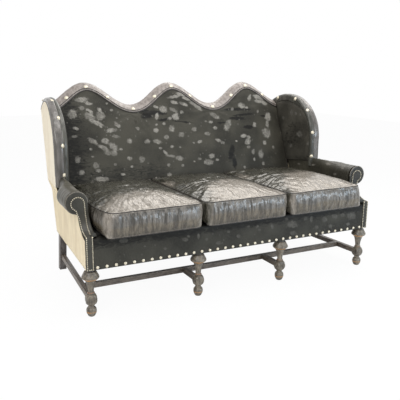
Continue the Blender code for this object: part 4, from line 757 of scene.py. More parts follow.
def make_lamps():
    for name, place, target, size, power, colour in (
        ("key", (-3.2, -3.2, 3.4), (0, 0, 0.5), (2.4, 2.4), 95, (1.0, 0.985, 0.96)),
        ("overhead", (0.2, -0.6, 3.6), (0, 0, 0.4), (3.2, 2.0), 60, (1.0, 0.98, 0.96)),
        ("high_rear", (1.5, 1.1, 2.50), (0.1, -0.35, 0.55), (3.2, 1.0), 30, (1.0, 0.955, 0.90)),
        ("window", (2.15, -3.35, 1.10), (0.3, -0.5, 0.50), (2.4, 0.7), 48, (0.70, 0.85, 1.0)),
    ):
        data = bpy.data.lights.new(name, "AREA")
        data.shape, data.size, data.size_y = "RECTANGLE", size[0], size[1]
        data.energy, data.color = power, colour
        light = add_object(name, data)
        light.location = place
        light.rotation_euler = (Vector(target) - Vector(place)).to_track_quat("-Z", "Y").to_euler()


# Legs and bare wood

def grid_of(x, y, z):
    return np.stack(np.broadcast_arrays(x, y, z), axis=-1)


def make_legs():
    steps = 64
    angle = 2 * np.pi * (np.arange(steps) + 0.5) / steps
    square = BLOCK_HALF / np.maximum(np.abs(np.cos(angle)), np.abs(np.sin(angle)))
    rings = []
    for level, share in smooth_line(LEG_PROFILE, 118):
        z = min(max(level, 0.0), 1.0) * (UNDERSIDE - GAP)
        radius, away = np.full(steps, share * CUP_RADIUS), abs(z - BLOCK_Z)
        if away <= BLOCK_REACH:
            pommel = POMMEL_RADIUS * math.sqrt(max(0.0, 1 - (away / POMMEL_REACH) ** 2))
            edge = CHAMFER * max(0.0, (away - BLOCK_REACH + CHAMFER_RUN) / CHAMFER_RUN)
            radius = np.maximum(radius, np.minimum(square - edge, pommel))
        rings.append(grid_of(radius * np.cos(angle), LEG_Y + radius * np.sin(angle), z))
    points, faces = np.concatenate(rings), capped_faces(len(rings), steps, flip=True)
    for number, x in enumerate(LEG_PLACES, start=1):
        leg = new_piece(f"turned_leg_{number}", points + (x, 0.0, 0.0), faces, WOOD_TURNED)
        split_edges(leg, 38)
        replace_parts(leg, f"front_leg_{number}")


def dress_wood():
    """Wooden and steel pieces that keep their own shape, by a word in their name, some with a soft edge."""
    looks = (
        (("long_stretcher",), WOOD_LONG, 0.003), (("side_stretcher", "spur_stretcher"), WOOD_SIDE, 0.003),
        (("rear_leg",), WOOD_REAR, 0.003), (("seat_spring",), STEEL, 0.0),
        # Frame pieces that show through gaps get the near-black wood, as painted shade.
        (("wing_board", "arm_board", "arm_stump", "post", "back"), WOOD_DARK_AS_SHADOW, 0.0),
        (("rail", "board", "slat"), FRAME_WOOD, 0.0015),
    )
    for name, node in NODES.items():
        if node.hide_render:
            continue
        for words, material, width in looks:
            if any(word in name for word in words):
                dress(node, material, width)
                break


def dress(node, material, width):
    node.data.materials.clear()
    node.data.materials.append(material)
    if width:
        bevel = node.modifiers.new("edges", "BEVEL")
        bevel.width, bevel.segments, bevel.limit_method = width, 2, "ANGLE"
        bevel.angle_limit = math.radians(40)


# Back

def make_inside_back():
    columns, rows, toward = 230, 84, (0, -1, 0.3)
    limit, valley = INSIDE_HALF - COVER_GAP, CREST_PITCH / 2
    share = np.linspace(0, 1, rows)[:, None]
    start = np.linspace(-limit, limit, columns)[None, :]
    top_x, top_z = crest_point(start, CREST_BAND + COVER_GAP)
    x = start + (np.clip(top_x, -limit, limit) - start) * share
    z = ARM_SHELF + (top_z - ARM_SHELF) * share
    swell = (1 - (x / INSIDE_HALF) ** 4) * (1 - (2 * share - 1) ** 4)
    grid = grid_of(x, back_y(z, BACK_THICKNESS) - BACK_CROWN * swell, z)
    push = 0.0016 * ridge(np.abs(np.abs(x) - valley) - 0.010, 0.006)
    for place in (-valley, valley):
        dx, dz = x - place, CREST_MEAN - CREST_WAVE - CREST_BAND - z
        away = np.hypot(dx, dz)
        near = np.exp(-away / 0.11) * np.clip(away / 0.02, 0, 1)
        rays = np.sin(np.arctan2(dz, dx) * 15 + 4 * cloud(grid, 6, place * 9, 2))
        push = push - 0.0028 * ridge(dx, 0.0035) + 0.0042 * near * rays
    push = push + 0.0030 * cloud(grid, 5, 3.1) + 0.0011 * cloud(grid, (26, 20, 34), 7.7)
    high = ease((z - 0.86) / 0.12) * ease((x - 0.02) / 0.2)
    push = push + 0.0030 * high * cloud(grid, (7, 7, 38), 11.0, 2) * (1 - np.abs(x) / INSIDE_HALF) ** 0.3
    grid = pushed(grid, push * border_fade(share, 0.03), toward)
    # Painted shade: the listed shaded folds and the low left part by the seat; the hide is also made darker
    # towards its left end.
    shade = np.maximum(painted_shade_field(grid, BACK_PAINTED_SHADE), 0.70 * ease((-0.54 - x) / 0.22))
    shade = np.maximum(shade, 0.50 * ease((0.70 - z) / 0.12) * ease((0.2 - x) / 0.5))
    patch = patch_field(grid, BACK_PATCHES, 1.22)
    back = shell("hide_inside_back", grid, INSIDE_BACK / RAKE_LENGTH, HIDE_BACK, "hide", toward,
                 patch=patch, shade=shade)
    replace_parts(back, "inside_back")


def make_corner_welts():
    """Cords that close the slit between the inside back and each arm."""
    z = np.linspace(ARM_SHELF + 0.004, 0.594, 40)
    for side, word in SIDES:
        path = grid_of(side * 0.8605, back_y(z, BACK_THICKNESS) + 0.005, z)
        tube(f"back_corner_welt_{word}", path, 0.0021, WELT, 6)


def crest_surface(x, count=31):
    """Points of the crest band's section at each x, from its front border to its rear border."""
    section = smooth_line(CREST_SECTION, count)
    place_x, z = crest_point(x[:, None], np.clip(section[:, 0], 0, 1)[None, :] * CREST_BAND)
    return grid_of(np.clip(place_x, -CREST_END, CREST_END), back_y(z, section[:, 1] * BACK_THICKNESS), z)


def make_crest():
    toward = (0, -0.2, 1)
    x = np.linspace(-CREST_END, CREST_END, 330)
    grid = crest_surface(x)
    fade = np.sin(np.linspace(0, math.pi, grid.shape[1])) ** 0.6
    run = grid * (1.0, 0.25, 0.25)
    push = 0.0005 * cloud(run, (70, 24, 24), 2.0, 2) + 0.0016 * cloud(grid, 14, 5.0, 2)
    grid = pushed(grid, push * fade, toward)
    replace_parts(shell("leather_crest_band", grid, 0.006, BAND, "band_leather", toward), "crest_band")
    # Near-black cords: the piping under the band, whose darkness also stands for the shadow below the band's
    # edge, and a cord along a fold as painted crease shade.
    for name, drop, radius in (("crest_piping_and_shadow", 1.03, 0.0044), ("crest_fold_shade_cord", 0.76, 0.0022)):
        place_x, z = crest_point(x, drop * CREST_BAND)
        path = grid_of(np.clip(place_x, -CREST_END, CREST_END), back_y(z, BACK_THICKNESS * 0.998), z)
        tube(name, path, radius, WELT)
    seats = []
    for at in np.arange(-5, 6) * CREST_PITCH / 4:
        patch = crest_surface(np.array([at - 0.004, at, at + 0.004]), 33)
        front = patch[1, :16]
        spot = np.array(crest_point(at, 0.56 * CREST_BAND))
        row = int(np.argmin(np.linalg.norm(front[:, ::2] - spot, axis=1)))
        seats.append((front[row], outward(patch, toward)[1, row]))
    nails("crest_nails", seats, LARGE_NAIL, NAIL)


def make_outer_back():
    rows, away = 60, np.array((0.0, 1.0, -BACK_RAKE)) / RAKE_LENGTH
    share = np.linspace(0, 1, rows)[:, None]
    t = np.linspace(-1, 1, 240)[None, :]
    flat = t * BASE_HALF_REAR
    bend = np.clip(flat, -INSIDE_HALF, INSIDE_HALF)
    crest = crest_point(bend)[1] - CREST_BAND / np.hypot(1.0, crest_slope(bend)) - 0.001
    top = np.where(np.abs(flat) > INSIDE_HALF, wing_top(WING_REAR_Y, WING_BAND), crest)
    z = UNDERSIDE + (top - UNDERSIDE) * share
    x = t * outer_x(back_y(z), z)
    grid = grid_of(x, back_y(z), z)
    push = 0.0014 * cloud(grid, 4, 8.0) - 0.0022 * ridge(x, 0.004)
    grid = grid + away * (push * border_fade(share, 0.05))[..., None]
    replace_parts(shell("suede_outer_back", grid, HIDE, SUEDE_BACK, "suede", (0, 1, 0)), "outer_back")
    row_z, edge = 0.266, 0.009
    seats = [((x, back_y(row_z), row_z), away) for x in np.linspace(-0.868, 0.868, 84)]
    for side, _ in SIDES:
        for z in np.linspace(0.285, 0.975, 24):
            seats.append(((side * (outer_x(back_y(z), z) - edge), back_y(z), z), away))
    nails("back_edge_nails", seats, BACK_BEAD, BEAD)


# Wings

def wing_path(inset, back_inset, foot, count):
    """The wing's edge in Y and Z, up its front, over its top and down to the back, in even steps."""
    line = [(WING_FRONT_Y + inset, z) for z in np.linspace(foot, WING_SPRING, 40)]
    reach, rise = WING_CROWN_Y - WING_FRONT_Y - inset, WING_TOP - WING_SPRING - inset
    for angle in np.linspace(0, math.pi / 2, 80)[1:]:
        line.append((WING_CROWN_Y - reach * math.cos(angle), WING_SPRING + rise * math.sin(angle)))
    for y in np.linspace(WING_CROWN_Y, 1.10, 90)[1:]:
        line.append((y, float(wing_top(y, inset))))
        if y > back_y(line[-1][1], back_inset):
            break
    return even_line(np.array(line), count)


def crown_drop(y, z):
    """How much further the band's inner face reaches down below the wing's crown."""
    return CROWN_DROP * ease((y - 0.56) / 0.20) * ease((z - 0.86) / 0.10)


def band_x(y, share):
    """Place across the wing's edge, for a share of the way from its inner to its outer face."""
    return INSIDE_HALF + (wing_x(y) - INSIDE_HALF) * share


def band_share(x, y):
    return (abs(x) - INSIDE_HALF) / (wing_x(y) - INSIDE_HALF)


def wing_band_grid(side):
    edge = wing_path(0.0, HIDE + GAP, WING_FOOT, 200)
    along = np.gradient(edge, axis=0)
    along /= np.linalg.norm(along, axis=1, keepdims=True)
    share, depth = np.clip(smooth_line(WING_SECTION, 29), 0, 1).T[:, None, :]
    inside = np.clip((depth - 0.5) / 0.5, 0, 1) * (share < 0.01)
    depth = depth * WING_BAND + inside * crown_drop(edge[:, :1], edge[:, 1:])
    y = edge[:, :1] + along[:, 1:] * depth
    z = edge[:, 1:] - along[:, :1] * depth
    return grid_of(side * band_x(edge[:, :1], share), np.minimum(y, back_y(z, HIDE + GAP)), z)


def arm_cutter(side):
    """A body as large as the arm, to cut what stands on it."""
    angles, rings = np.radians(np.linspace(180, ROLL_END, 40)), []
    for y in np.linspace(-0.02, 0.86, 60):
        half = roll_half(y) + GAP
        x = np.append(ARM_INNER_X - 2 * GAP, ROLL_INNER_X + half - GAP + half * np.cos(angles))
        z = np.append(ARM_SHELF, ROLL_HEIGHT + (ROLL_RADIUS + GAP) * np.sin(angles))
        rings.append(grid_of(side * x, y + SHIFT, z))
    mesh = bpy.data.meshes.new("arm_cutter")
    mesh.from_pydata(np.concatenate(rings).tolist(), [], capped_faces(len(rings), len(rings[0]), flip=True))
    body = bmesh.new()
    body.from_mesh(mesh)
    bmesh.ops.recalc_face_normals(body, faces=body.faces)
    body.to_mesh(mesh)
    body.free()
    return add_object("arm_cutter", mesh)


def cut_by(piece, cutter):
    piece.modifiers.clear()
    cut = piece.modifiers.new("cut", "BOOLEAN")
    cut.operation, cut.solver, cut.object = "DIFFERENCE", "EXACT", cutter
    applied(piece)
    split_edges(piece)


def wing_columns(inset, rear_inset, foot_front, foot_rear, count, drop):
    """A grid over a wing's face: columns from its front edge to the back, rows from foot to top."""
    reach = WING_CROWN_Y - WING_FRONT_Y - inset
    last = 1.0
    for _ in range(30):
        last = back_y(float(wing_top(last, inset)), rear_inset)
    ahead = WING_CROWN_Y - reach * np.cos(np.linspace(0, math.pi / 2, count * 3 // 5))
    y = np.concatenate([ahead, np.linspace(WING_CROWN_Y, last, count - len(ahead) + 1)[1:]])
    high = wing_top(y, inset)
    high = high - drop * crown_drop(y, high)
    corner = back_y(foot_rear, rear_inset)
    foot = foot_front + (foot_rear - foot_front) * np.clip((y - y[0]) / (corner - y[0]), 0, 1)
    raked = UNDERSIDE + (y - BASE_DEPTH + rear_inset) / BACK_RAKE
    low = np.where(y < corner, foot, np.minimum(raked, high))
    share = np.linspace(0, 1, count)[:, None]
    return y[None, :] * np.ones((count, 1)), low + (high - low) * share, share


def make_wing_band(side, word, cutter):
    toward = (0, -0.7, 0.7)
    grid = wing_band_grid(side)
    normal = outward(grid, toward)
    fade = np.sin(np.linspace(0, math.pi, grid.shape[1]))
    push = 0.0012 * cloud(grid, (60, 22, 22), 4.0, 2) + 0.0012 * cloud(grid, 14, 6.0, 2)
    grid = grid + normal * (push * fade)[..., None]
    share = band_share(grid[..., 0], grid[..., 1])
    groove = 0.0032 * ridge(share - WING_SEAM, 0.035)
    roll = 0.0018 * np.clip(np.sin(math.pi * np.clip(share / WING_SEAM, 0, 1)), 0, 1)
    grid = grid + normal * (roll - groove)[..., None]
    ends = np.sin(math.pi * np.linspace(0, 1, grid.shape[0]))[:, None] ** 0.7
    grid[..., 0] -= side * 0.0050 * ease(1 - share / (WING_SEAM * 0.8)) * ends
    band = shell(f"leather_wing_band_{word}", grid, 0.0048, WING_LEATHER, "band_leather", toward)
    band.data.materials.append(ROLL_HIDE)
    for face in band.data.polygons:
        face.material_index = int(band_share(face.center.x, face.center.y - SHIFT) < WING_SEAM)
    cut_by(band, cutter)
    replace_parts(band, f"wing_band_{word}")
    for end, share, radius, out in (("inner", 0.0, 0.0032, -0.0002), ("outer", 1.0, 0.0024, 0.0004)):
        y, z = wing_path(WING_BAND - 0.0008, HIDE + 0.004, WING_FOOT + 0.062, 130).T
        z = z - (1 - share) * crown_drop(y, z)
        path = grid_of(side * (band_x(y, share) + out), y, z)
        tube(f"wing_piping_{end}_{word}", path, radius, WELT, 6)


def make_wing_pad(side, word, cutter):
    rear = BACK_THICKNESS - INSIDE_BACK + GAP
    y, z, share = wing_columns(WING_BAND + 0.0012, rear, PAD_FOOT_FRONT, PAD_FOOT_REAR, 60, 1.0)
    run = y - y[0, 0]
    x = INSIDE_HALF + 0.0008 - 0.0035 * border_fade(share, 0.08) * ease(run / 0.03)
    push = 0.0018 * cloud(grid_of(side * x, y, z), 8, 9.0)
    push = push + 0.0016 * (ridge(run - 0.030, 0.004) - ridge(run - 0.024, 0.0025))
    grid = grid_of(side * (x - push * border_fade(share, 0.05)), y, z)
    # Painted shade on the right pad only.
    shade = painted_shade_field(grid, WING_PAINTED_SHADE) * (0.50 if side > 0 else 0.0)
    patch = patch_field(grid, WING_PATCHES)
    pad = shell(f"hide_wing_pad_{word}", grid, 0.0105, HIDE_SIDE, "hide", (-side, 0, 0),
                patch=patch, shade=shade)
    cut_by(pad, cutter)
    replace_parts(pad, f"wing_pad_{word}")


def make_wing_outer(side, word):
    seam = SIDE_SEAM + GAP
    y, z, share = wing_columns(WING_BAND + 0.0006, HIDE + GAP, seam, seam, 50, 0.0)
    grid = grid_of(side * (wing_x(y) + 0.0006), y, z)
    grid[..., 0] += side * 0.0016 * cloud(grid, 5, 12.0) * border_fade(share, 0.06)
    outer = shell(f"suede_wing_outer_{word}", grid, SUEDE, SUEDE_WING_LIT, "suede", (side, 0, 0))
    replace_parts(outer, f"wing_outer_{word}")


def make_wing_nails(side, word):
    """Large nails along the band; the right wing's two rear ones lie on its inner face."""
    seats = []
    arm_top = ROLL_HEIGHT + ROLL_RADIUS
    edge = wing_path(0.0, HIDE, WING_FOOT, 400)
    for share_y, share_z in WING_NAILS:
        x, sunk, lean, ahead = (0.886, 0.0030, 0.80, 0.0) if side < 0 else (0.869, 0.0045, 1.05, 0.0)
        if side > 0 and share_z > 0.9:
            x, sunk, lean, ahead = 0.857, 0.0150, 2.5, 0.020
        spot = np.array((WING_FRONT_Y + share_y * (WING_CROWN_Y - WING_FRONT_Y) - ahead,
                         arm_top + share_z * (WING_TOP - arm_top)))
        way = np.array((min(0.0, spot[0] - WING_CROWN_Y), max(0.0, spot[1] - WING_SPRING)))
        way = way / np.linalg.norm(way)
        off = (edge - spot) @ (way[1], -way[0])
        index = int(np.argmin(np.abs(off) + np.where((edge - spot) @ way < -0.05, 9.0, 0.0)))
        tangent = edge[min(index + 1, len(edge) - 1)] - edge[max(index - 1, 0)]
        normal = np.array((-tangent[1], tangent[0])) / np.linalg.norm(tangent)
        normal = normal if normal @ way > 0 else -normal
        place = edge[index] - normal * sunk
        seats.append(((side * x, place[0], place[1]), (-side * lean, normal[0], normal[1])))
    nails(f"wing_nails_{word}", seats, LARGE_NAIL, NAIL)


# Arms

def make_arm(side, word):
    wall, around, toward = 23, 70, (-side * 0.3, 0, 1)
    v = np.linspace(0, 1, 110)[:, None]
    angle = np.radians(np.append(np.full(wall, 180.0), np.linspace(180, ROLL_END, around - wall)))
    levels = np.full(around, ROLL_HEIGHT)
    levels[:wall] = np.linspace(ARM_SHELF + GAP, ROLL_HEIGHT, wall + 1)[:-1]
    on_wall = np.arange(around) < wall
    z = (levels + np.where(on_wall, 0.0, ROLL_RADIUS * np.sin(angle)))[None, :]
    start, end = sweep_y(z, ARM_FRONT + COVER_GAP), back_y(z, BACK_THICKNESS + GAP)
    y = start + (end - start) * v
    half = roll_half(y)
    inner = ARM_INNER_X + (ROLL_INNER_X - ARM_INNER_X) * ease((z - ARM_SHELF) / (ROLL_HEIGHT - ARM_SHELF))
    grid = grid_of(side * np.where(on_wall, inner, ROLL_INNER_X + half + half * np.cos(angle)), y, z)
    push = 0.0022 * cloud(grid, (6, 9, 6), 14.0 + side) + 0.0012 * cloud(grid, (20, 60, 20), 15.0, 2)
    push = push + 0.0018 * np.exp(-np.abs(y - 0.17) / 0.09) * cloud(grid, (30, 45, 12), 16.0, 2)
    grid = pushed(grid, push * border_fade(v, 0.03), toward)
    cover = shell(f"hide_arm_cover_{word}", grid, 0.0045, ARM_LEATHER, "hide", toward,
                  patch=patch_field(grid, ARM_PATCHES))
    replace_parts(cover, f"arm_cover_{word}")


def make_arm_front(side, word):
    toward = (0, -1, 0.3)
    grid = front_grid(whole_front, UNDERSIDE, ROLL_HEIGHT, ROLL_RADIUS, 0.0, 0.006) * (side, 1, 1)
    bare = np.full(grid.shape[:2], -1.0)
    front = shell(f"hide_arm_front_{word}", grid, ARM_FRONT + 0.0004, HIDE_FRONT, "hide", toward, patch=bare)
    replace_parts(front, f"arm_front_{word}")
    grid = front_grid(facing, UNDERSIDE + 0.0015, LOOP_Z, LOOP_RADIUS, -HIDE - GAP, 0.0014) * (side, 1, 1)
    strip = shell(f"hide_arm_facing_{word}", grid, 0.0026, HIDE_FRONT, "hide", toward, patch=bare)
    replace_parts(strip, f"arm_facing_{word}")

    angle, radius = np.radians(185 - 290 * np.linspace(0, 1, 60)), ROLL_RADIUS - 0.0010
    x, z = ROLL_INNER_X + ROLL_RADIUS + radius * np.cos(angle), ROLL_HEIGHT + radius * np.sin(angle)
    tube(f"roll_piping_{word}", grid_of(side * x, ARM_SETBACK + 0.0040, z), 0.0034, PIPING)

    seats = []
    for x, z in bead_line():
        below, y, above = sweep_y(np.array((z - 0.002, z, z + 0.002)), -HIDE - GAP)
        seats.append(((side * x, y, z), (0.0, -0.004, above - below)))
    nails(f"facing_nails_{word}", seats, FACING_BEAD, BEAD)


def whole_front(z):
    """Inner and outer edge of the arm front at height z."""
    lean = ARM_INNER_X + (ROLL_INNER_X - ARM_INNER_X) * (z - ARM_SHELF) / (ROLL_HEIGHT - ARM_SHELF)
    centre = ROLL_INNER_X + ROLL_RADIUS
    bulge = math.sqrt(max(0.0, ROLL_RADIUS ** 2 - (z - ROLL_HEIGHT) ** 2))
    low = APRON_HALF if z < ARM_SHELF else (lean if z < ROLL_HEIGHT else centre - bulge)
    high = BASE_HALF_FRONT if z < ROLL_HEIGHT - ROLL_RADIUS + 0.0002 else centre + bulge
    return low, high


def facing(z):
    """Inner and outer edge of the nailed facing at height z."""
    bulge = math.sqrt(max(0.0, LOOP_RADIUS ** 2 - (z - LOOP_Z) ** 2))
    low = LOOP_X - bulge if z > LOOP_Z else np.interp(z, *FACING_INNER)
    high = LOOP_X + bulge if z > FACING_OUTER[0][-1] else np.interp(z, *FACING_OUTER)
    return low, high


def front_grid(edges, foot, kink, radius, offset, round_by):
    """The arm front between two edges, laid on the sweep, with its border rolled back."""
    top = kink + radius
    levels = [*np.linspace(foot, ARM_SHELF - 0.0004, 22), *np.linspace(ARM_SHELF + 0.0004, kink, 46)[:-1]]
    levels += [kink + radius * math.sin(angle) for angle in np.linspace(0, math.pi / 2 - 0.03, 26)]
    across = (1 - np.cos(np.linspace(0, math.pi, 30))) / 2
    rows = []
    for z in levels:
        low, high = edges(z)
        x = low + (high - low) * across
        edge = np.minimum(x - low, high - x)
        if z > kink:
            edge = np.minimum(edge, radius - np.hypot(x - (low + high) / 2, z - kink))
        edge = np.minimum(np.maximum(edge, 0), top - z + 0.0005)
        dip = round_by * (1 - np.sqrt(np.maximum(0, 1 - (1 - np.minimum(edge / round_by, 1)) ** 2)))
        rows.append(grid_of(x, sweep_y(z, offset) + dip, z))
    return np.array(rows)


def bead_line():
    """Places of the small nails: up one side of the facing, round its loop and down the other side."""
    up, down = np.linspace(BEAD_FOOT, LOOP_Z, 200), np.linspace(0.543, BEAD_FOOT, 200)
    turn, radius = np.radians(np.linspace(178, -70, 200)), LOOP_RADIUS - BEAD_INSET
    line = [(facing(z)[0] + BEAD_INSET, z) for z in up]
    line += list(zip(LOOP_X + radius * np.cos(turn), LOOP_Z + radius * np.sin(turn)))
    line += [(facing(z)[1] - BEAD_INSET, z) for z in down]
    x, z = np.array(line).T
    line = grid_of(x, z, sweep_y(z, -HIDE - GAP))
    places = even_line(line, round(run_length(line)[-1] / BEAD_PITCH))
    return [(x, z) for x, z, _ in places] + [(x, BEAD_FOOT) for x in (0.8995, 0.9085)]


def panel_top(y):
    """Height of the side panel's upper edge: under the roll, then up to the wing's seam."""
    lean = np.clip((side_x(y) - SUEDE / 2 - ROLL_INNER_X - roll_half(y)) / roll_half(y), -1, 1)
    under = ROLL_HEIGHT - ROLL_RADIUS * np.sqrt(1 - lean ** 2) - 0.0008
    low = np.minimum(under, ROLL_HEIGHT - ROLL_RADIUS)
    return low + (SIDE_SEAM + 0.008 * ease((0.552 - y) / 0.004) - low) * ease((y - 0.468) / 0.046)


def make_side_panel(side, word):
    share = np.linspace(0, 1, 46)[:, None]
    t = np.linspace(0, 1, 90)[None, :]
    y = 0.14 + (back_y(SIDE_SEAM) - 0.14) * t
    for _ in range(4):
        z = UNDERSIDE + (panel_top(y) - UNDERSIDE) * share
        start, end = sweep_y(z, ARM_FRONT + GAP), back_y(z, HIDE + GAP)
        y = start + (end - start) * t
    grid = grid_of(side * outer_x(y, z), y, z)
    seam = 0.0032 * ease((y - 0.44) / 0.03) * ease((z - 0.53) / 0.02) * ease((0.60 - y) / 0.05)
    grid[..., 0] += side * (0.0014 * cloud(grid, 4, 20.0) * border_fade(share, 0.05) + 0.0004 + seam)
    panel = shell(f"suede_side_{word}", grid, SUEDE, SUEDE_SKIN, "suede", (side, 0, 0))
    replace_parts(panel, f"side_panel_{word}")
    for name, row, z, size, material in (
        ("edge", np.linspace(0.045, 0.765, 40), 0.264, SIDE_BEAD, BEAD),
        ("corner", (0.030, 0.056), 0.266, CORNER_NAIL, NAIL),
    ):
        seats = [((side * (side_x(y) + 0.0008), y, z), (side, 0, 0)) for y in row]
        nails(f"side_{name}_nails_{word}", seats, size, material)


# Seat base

def make_apron():
    toward, nail_z = (0, -1, 0.2), 0.269
    path = [(0.0, z) for z in np.linspace(UNDERSIDE, DECK_HEIGHT - APRON_EDGE, 22)]
    for angle in np.linspace(0, math.pi / 2, 10)[1:]:
        path.append((APRON_EDGE * (1 - math.cos(angle)), DECK_HEIGHT - APRON_EDGE * (1 - math.sin(angle))))
    path += [(y, DECK_HEIGHT) for y in np.linspace(APRON_EDGE, APRON_RETURN, 6)[1:]]
    y, z = np.array(path).T[:, :, None]
    grid = grid_of(np.linspace(-APRON_HALF + GAP, APRON_HALF - GAP, 300), y, z)
    push = 0.0016 * cloud(grid, (7, 7, 14), 30.0) + 0.0008 * cloud(grid, (40, 20, 12), 31.0, 2)
    places = np.linspace(-0.867, 0.867, 36)
    near = np.min(np.abs(grid[..., :1] - places), axis=-1)
    push = push * ease((z - 0.262) / 0.03) - 0.0012 * ridge(near, 0.010) * ridge(z - nail_z, 0.010)
    grid = pushed(grid, push, toward)
    # Painted shadow under the cushions' front lip: the apron darkens towards its top.
    shade = 0.75 * ease((z - 0.335) / 0.06) * np.ones(grid.shape[:2])
    cover = shell("hide_apron", grid, HIDE, HIDE_APRON, "hide", toward,
                  patch=patch_field(grid, APRON_PATCHES), shade=shade)
    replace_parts(cover, "apron_cover")
    nails("apron_nails", [((x, -0.0002, nail_z), (0, -1, 0)) for x in places], APRON_NAIL, NAIL)


def cloth_from(name, new_name, material, cuts):
    """A soft piece with a solid's own faces, cut into a net."""
    body = bmesh.new()
    body.from_mesh(NODES[name].data)
    low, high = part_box(name)
    for axis, count in enumerate(cuts):
        for step in range(1, count):
            place, way = [0.0, 0.0, 0.0], [0.0, 0.0, 0.0]
            place[axis], way[axis] = low[axis] + (high[axis] - low[axis]) * step / count, 1.0
            geometry = body.verts[:] + body.edges[:] + body.faces[:]
            bmesh.ops.bisect_plane(body, geom=geometry, plane_co=place, plane_no=way)
    mesh = bpy.data.meshes.new(new_name)
    body.to_mesh(mesh)
    body.free()
    mesh.materials.clear()
    mesh.materials.append(material)
    piece = add_object(new_name, mesh)
    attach(piece, "sofa")
    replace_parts(piece, name)
    return piece


def make_hidden():
    cloth_from("deck_pad", "deck_pad_cloth", DECK_CLOTH_SHADOW_BLACK, (24, 14, 1))
    cloth_from("front_edge_roll", "edge_roll_felt", FELT, (24, 1, 1))
    cover = cloth_from("dust_cover", "dust_cloth", BLACK_CLOTH, (16, 10, 1))


# Loose cushions

def cushion_points(nx, ny, nz):
    """A boxed cushion as a net of quads: places from -1 to 1 along each axis, faces and seams."""
    index, points, faces = {}, [], []

    def corner(i, j, k):
        key = (i, j, k)
        if key not in index:
            index[key] = len(points)
            points.append((2 * i / nx - 1, 2 * j / ny - 1, 2 * k / nz - 1))
        return index[key]

    def quad(*corners):
        faces.append(tuple(corner(*place) for place in corners))

    for i in range(nx):
        for j in range(ny):
            quad((i, j, nz), (i + 1, j, nz), (i + 1, j + 1, nz), (i, j + 1, nz))
            quad((i, j, 0), (i, j + 1, 0), (i + 1, j + 1, 0), (i + 1, j, 0))
    for k in range(nz):
        for i in range(nx):
            quad((i, 0, k), (i + 1, 0, k), (i + 1, 0, k + 1), (i, 0, k + 1))
            quad((i + 1, ny, k), (i, ny, k), (i, ny, k + 1), (i + 1, ny, k + 1))
        for j in range(ny):
            quad((0, j + 1, k), (0, j, k), (0, j, k + 1), (0, j + 1, k + 1))
            quad((nx, j, k), (nx, j + 1, k), (nx, j + 1, k + 1), (nx, j, k + 1))
    loop = [(i, 0) for i in range(nx)] + [(nx, j) for j in range(ny)]
    loop += [(i, ny) for i in range(nx, 0, -1)] + [(0, j) for j in range(ny, 0, -1)]
    loops = [[index[(i, j, level)] for i, j in loop] for level in (nz, 0)]
    return np.array(points), faces, loops


def shape_cushion(unit, width, outer):
    """The cushion's form: crowned top, rounded corners, swollen boxing, a lip over the apron, raked rear."""
    u, v, w = unit.T
    reach = np.maximum(np.maximum(np.abs(u), np.abs(v)), 1e-6)
    total = np.abs(u / reach) ** CORNER_POWER + np.abs(v / reach) ** CORNER_POWER
    squeeze = np.maximum(total ** (1 / CORNER_POWER), 1e-6)
    u, v = u / squeeze, v / squeeze
    edge = np.maximum(np.abs(u), np.abs(v))
    bulge = CUSHION_BULGE * w * w
    x = u * (width / 2 - (CUSHION_DRAW * (1 - v * v) + bulge) * edge)
    y = v * (CUSHION_HALF_DEPTH - (CUSHION_DRAW * (1 - u * u) + bulge) * edge)
    seam = CUSHION_SEAM - CUSHION_REAR_DROP * (v + 1) / 2
    crown = np.maximum(0.0, (1 - np.abs(u) ** CROWN_POWER) * (1 - np.abs(v) ** CROWN_POWER))
    bottom = CUSHION_EDGE_LIFT * edge ** 8
    z = bottom + (seam + CUSHION_CROWN * crown - bottom) * (w + 1) / 2
    y = y + BACK_RAKE * z * np.maximum(0.0, v) ** 2
    lip = ease((-v - 0.93) / 0.06) * (1 - w) / 2
    z = z - LIP_DROP * lip
    y = y - FRONT_REACH * ease((-v - 0.4) / 0.6) - LIP_REACH * lip
    corner = ease((outer * u - 0.72) / 0.28) * ease((-v - 0.55) / 0.45) * (w + 1) / 2
    return np.stack([x - outer * CORNER_PULL * corner, y + CORNER_BACK * corner, z], axis=-1), u, v, edge


def make_cushion(name, body, centre, width, seed, sheen_arc):
    """One cushion, with the rim of its painted silver sheen at the front as place, slant, bend, sharpness and
    a corner's painted highlight.
    """
    unit, faces, loops = cushion_points(*(((60, 80, 14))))
    points, u, v, edge = shape_cushion(unit, width, float(np.sign(centre)))
    place = (centre, CUSHION_Y, DECK_HEIGHT + GAP)
    piece = new_piece(name, points + place, faces, CUSHION, body)
    w = unit[:, 2]
    level, slant, bend, sharpness, painted_highlight = sheen_arc
    # Painted sheen: the stored silver field marks where the top is coloured as if it reflected light, with a
    # painted highlight near the rear left corner.
    shine = np.clip(0.5 + (level + slant * u - bend * np.abs(u) ** 2.5 - v) * sharpness, 0, 1)
    corner_highlight = ridge(u + 0.93, 0.16) * ridge(v - 0.42, 0.30) * painted_highlight
    store(piece, "boxing", np.clip((edge - 0.985) / 0.012, 0, 1) * (np.abs(w) < 0.999))
    store(piece, "foot", (1 - w) / 2)
    store(piece, "silver", np.maximum(shine, 0.62 * corner_highlight))
    store(piece, "top_side", w > 0.99)
    swell(piece, unit, u, v)
    divide = piece.modifiers.new("divide", "SUBSURF")
    divide.levels = divide.render_levels = 1
    applied(piece)
    wrinkle_cushion(piece, centre, width, seed)
    points = vertex_values(piece.data, "co") - (0.0, SHIFT, 0.0)
    for word, loop, radius in (("top", loops[0], 0.0030), ("foot", loops[1], 0.0026)):
        path = smooth_line(points[loop + loop[:1]], 520)[:-1]
        tube(f"{name}_{word}_welt", path, radius, WELT, 6, True, body)
    return piece


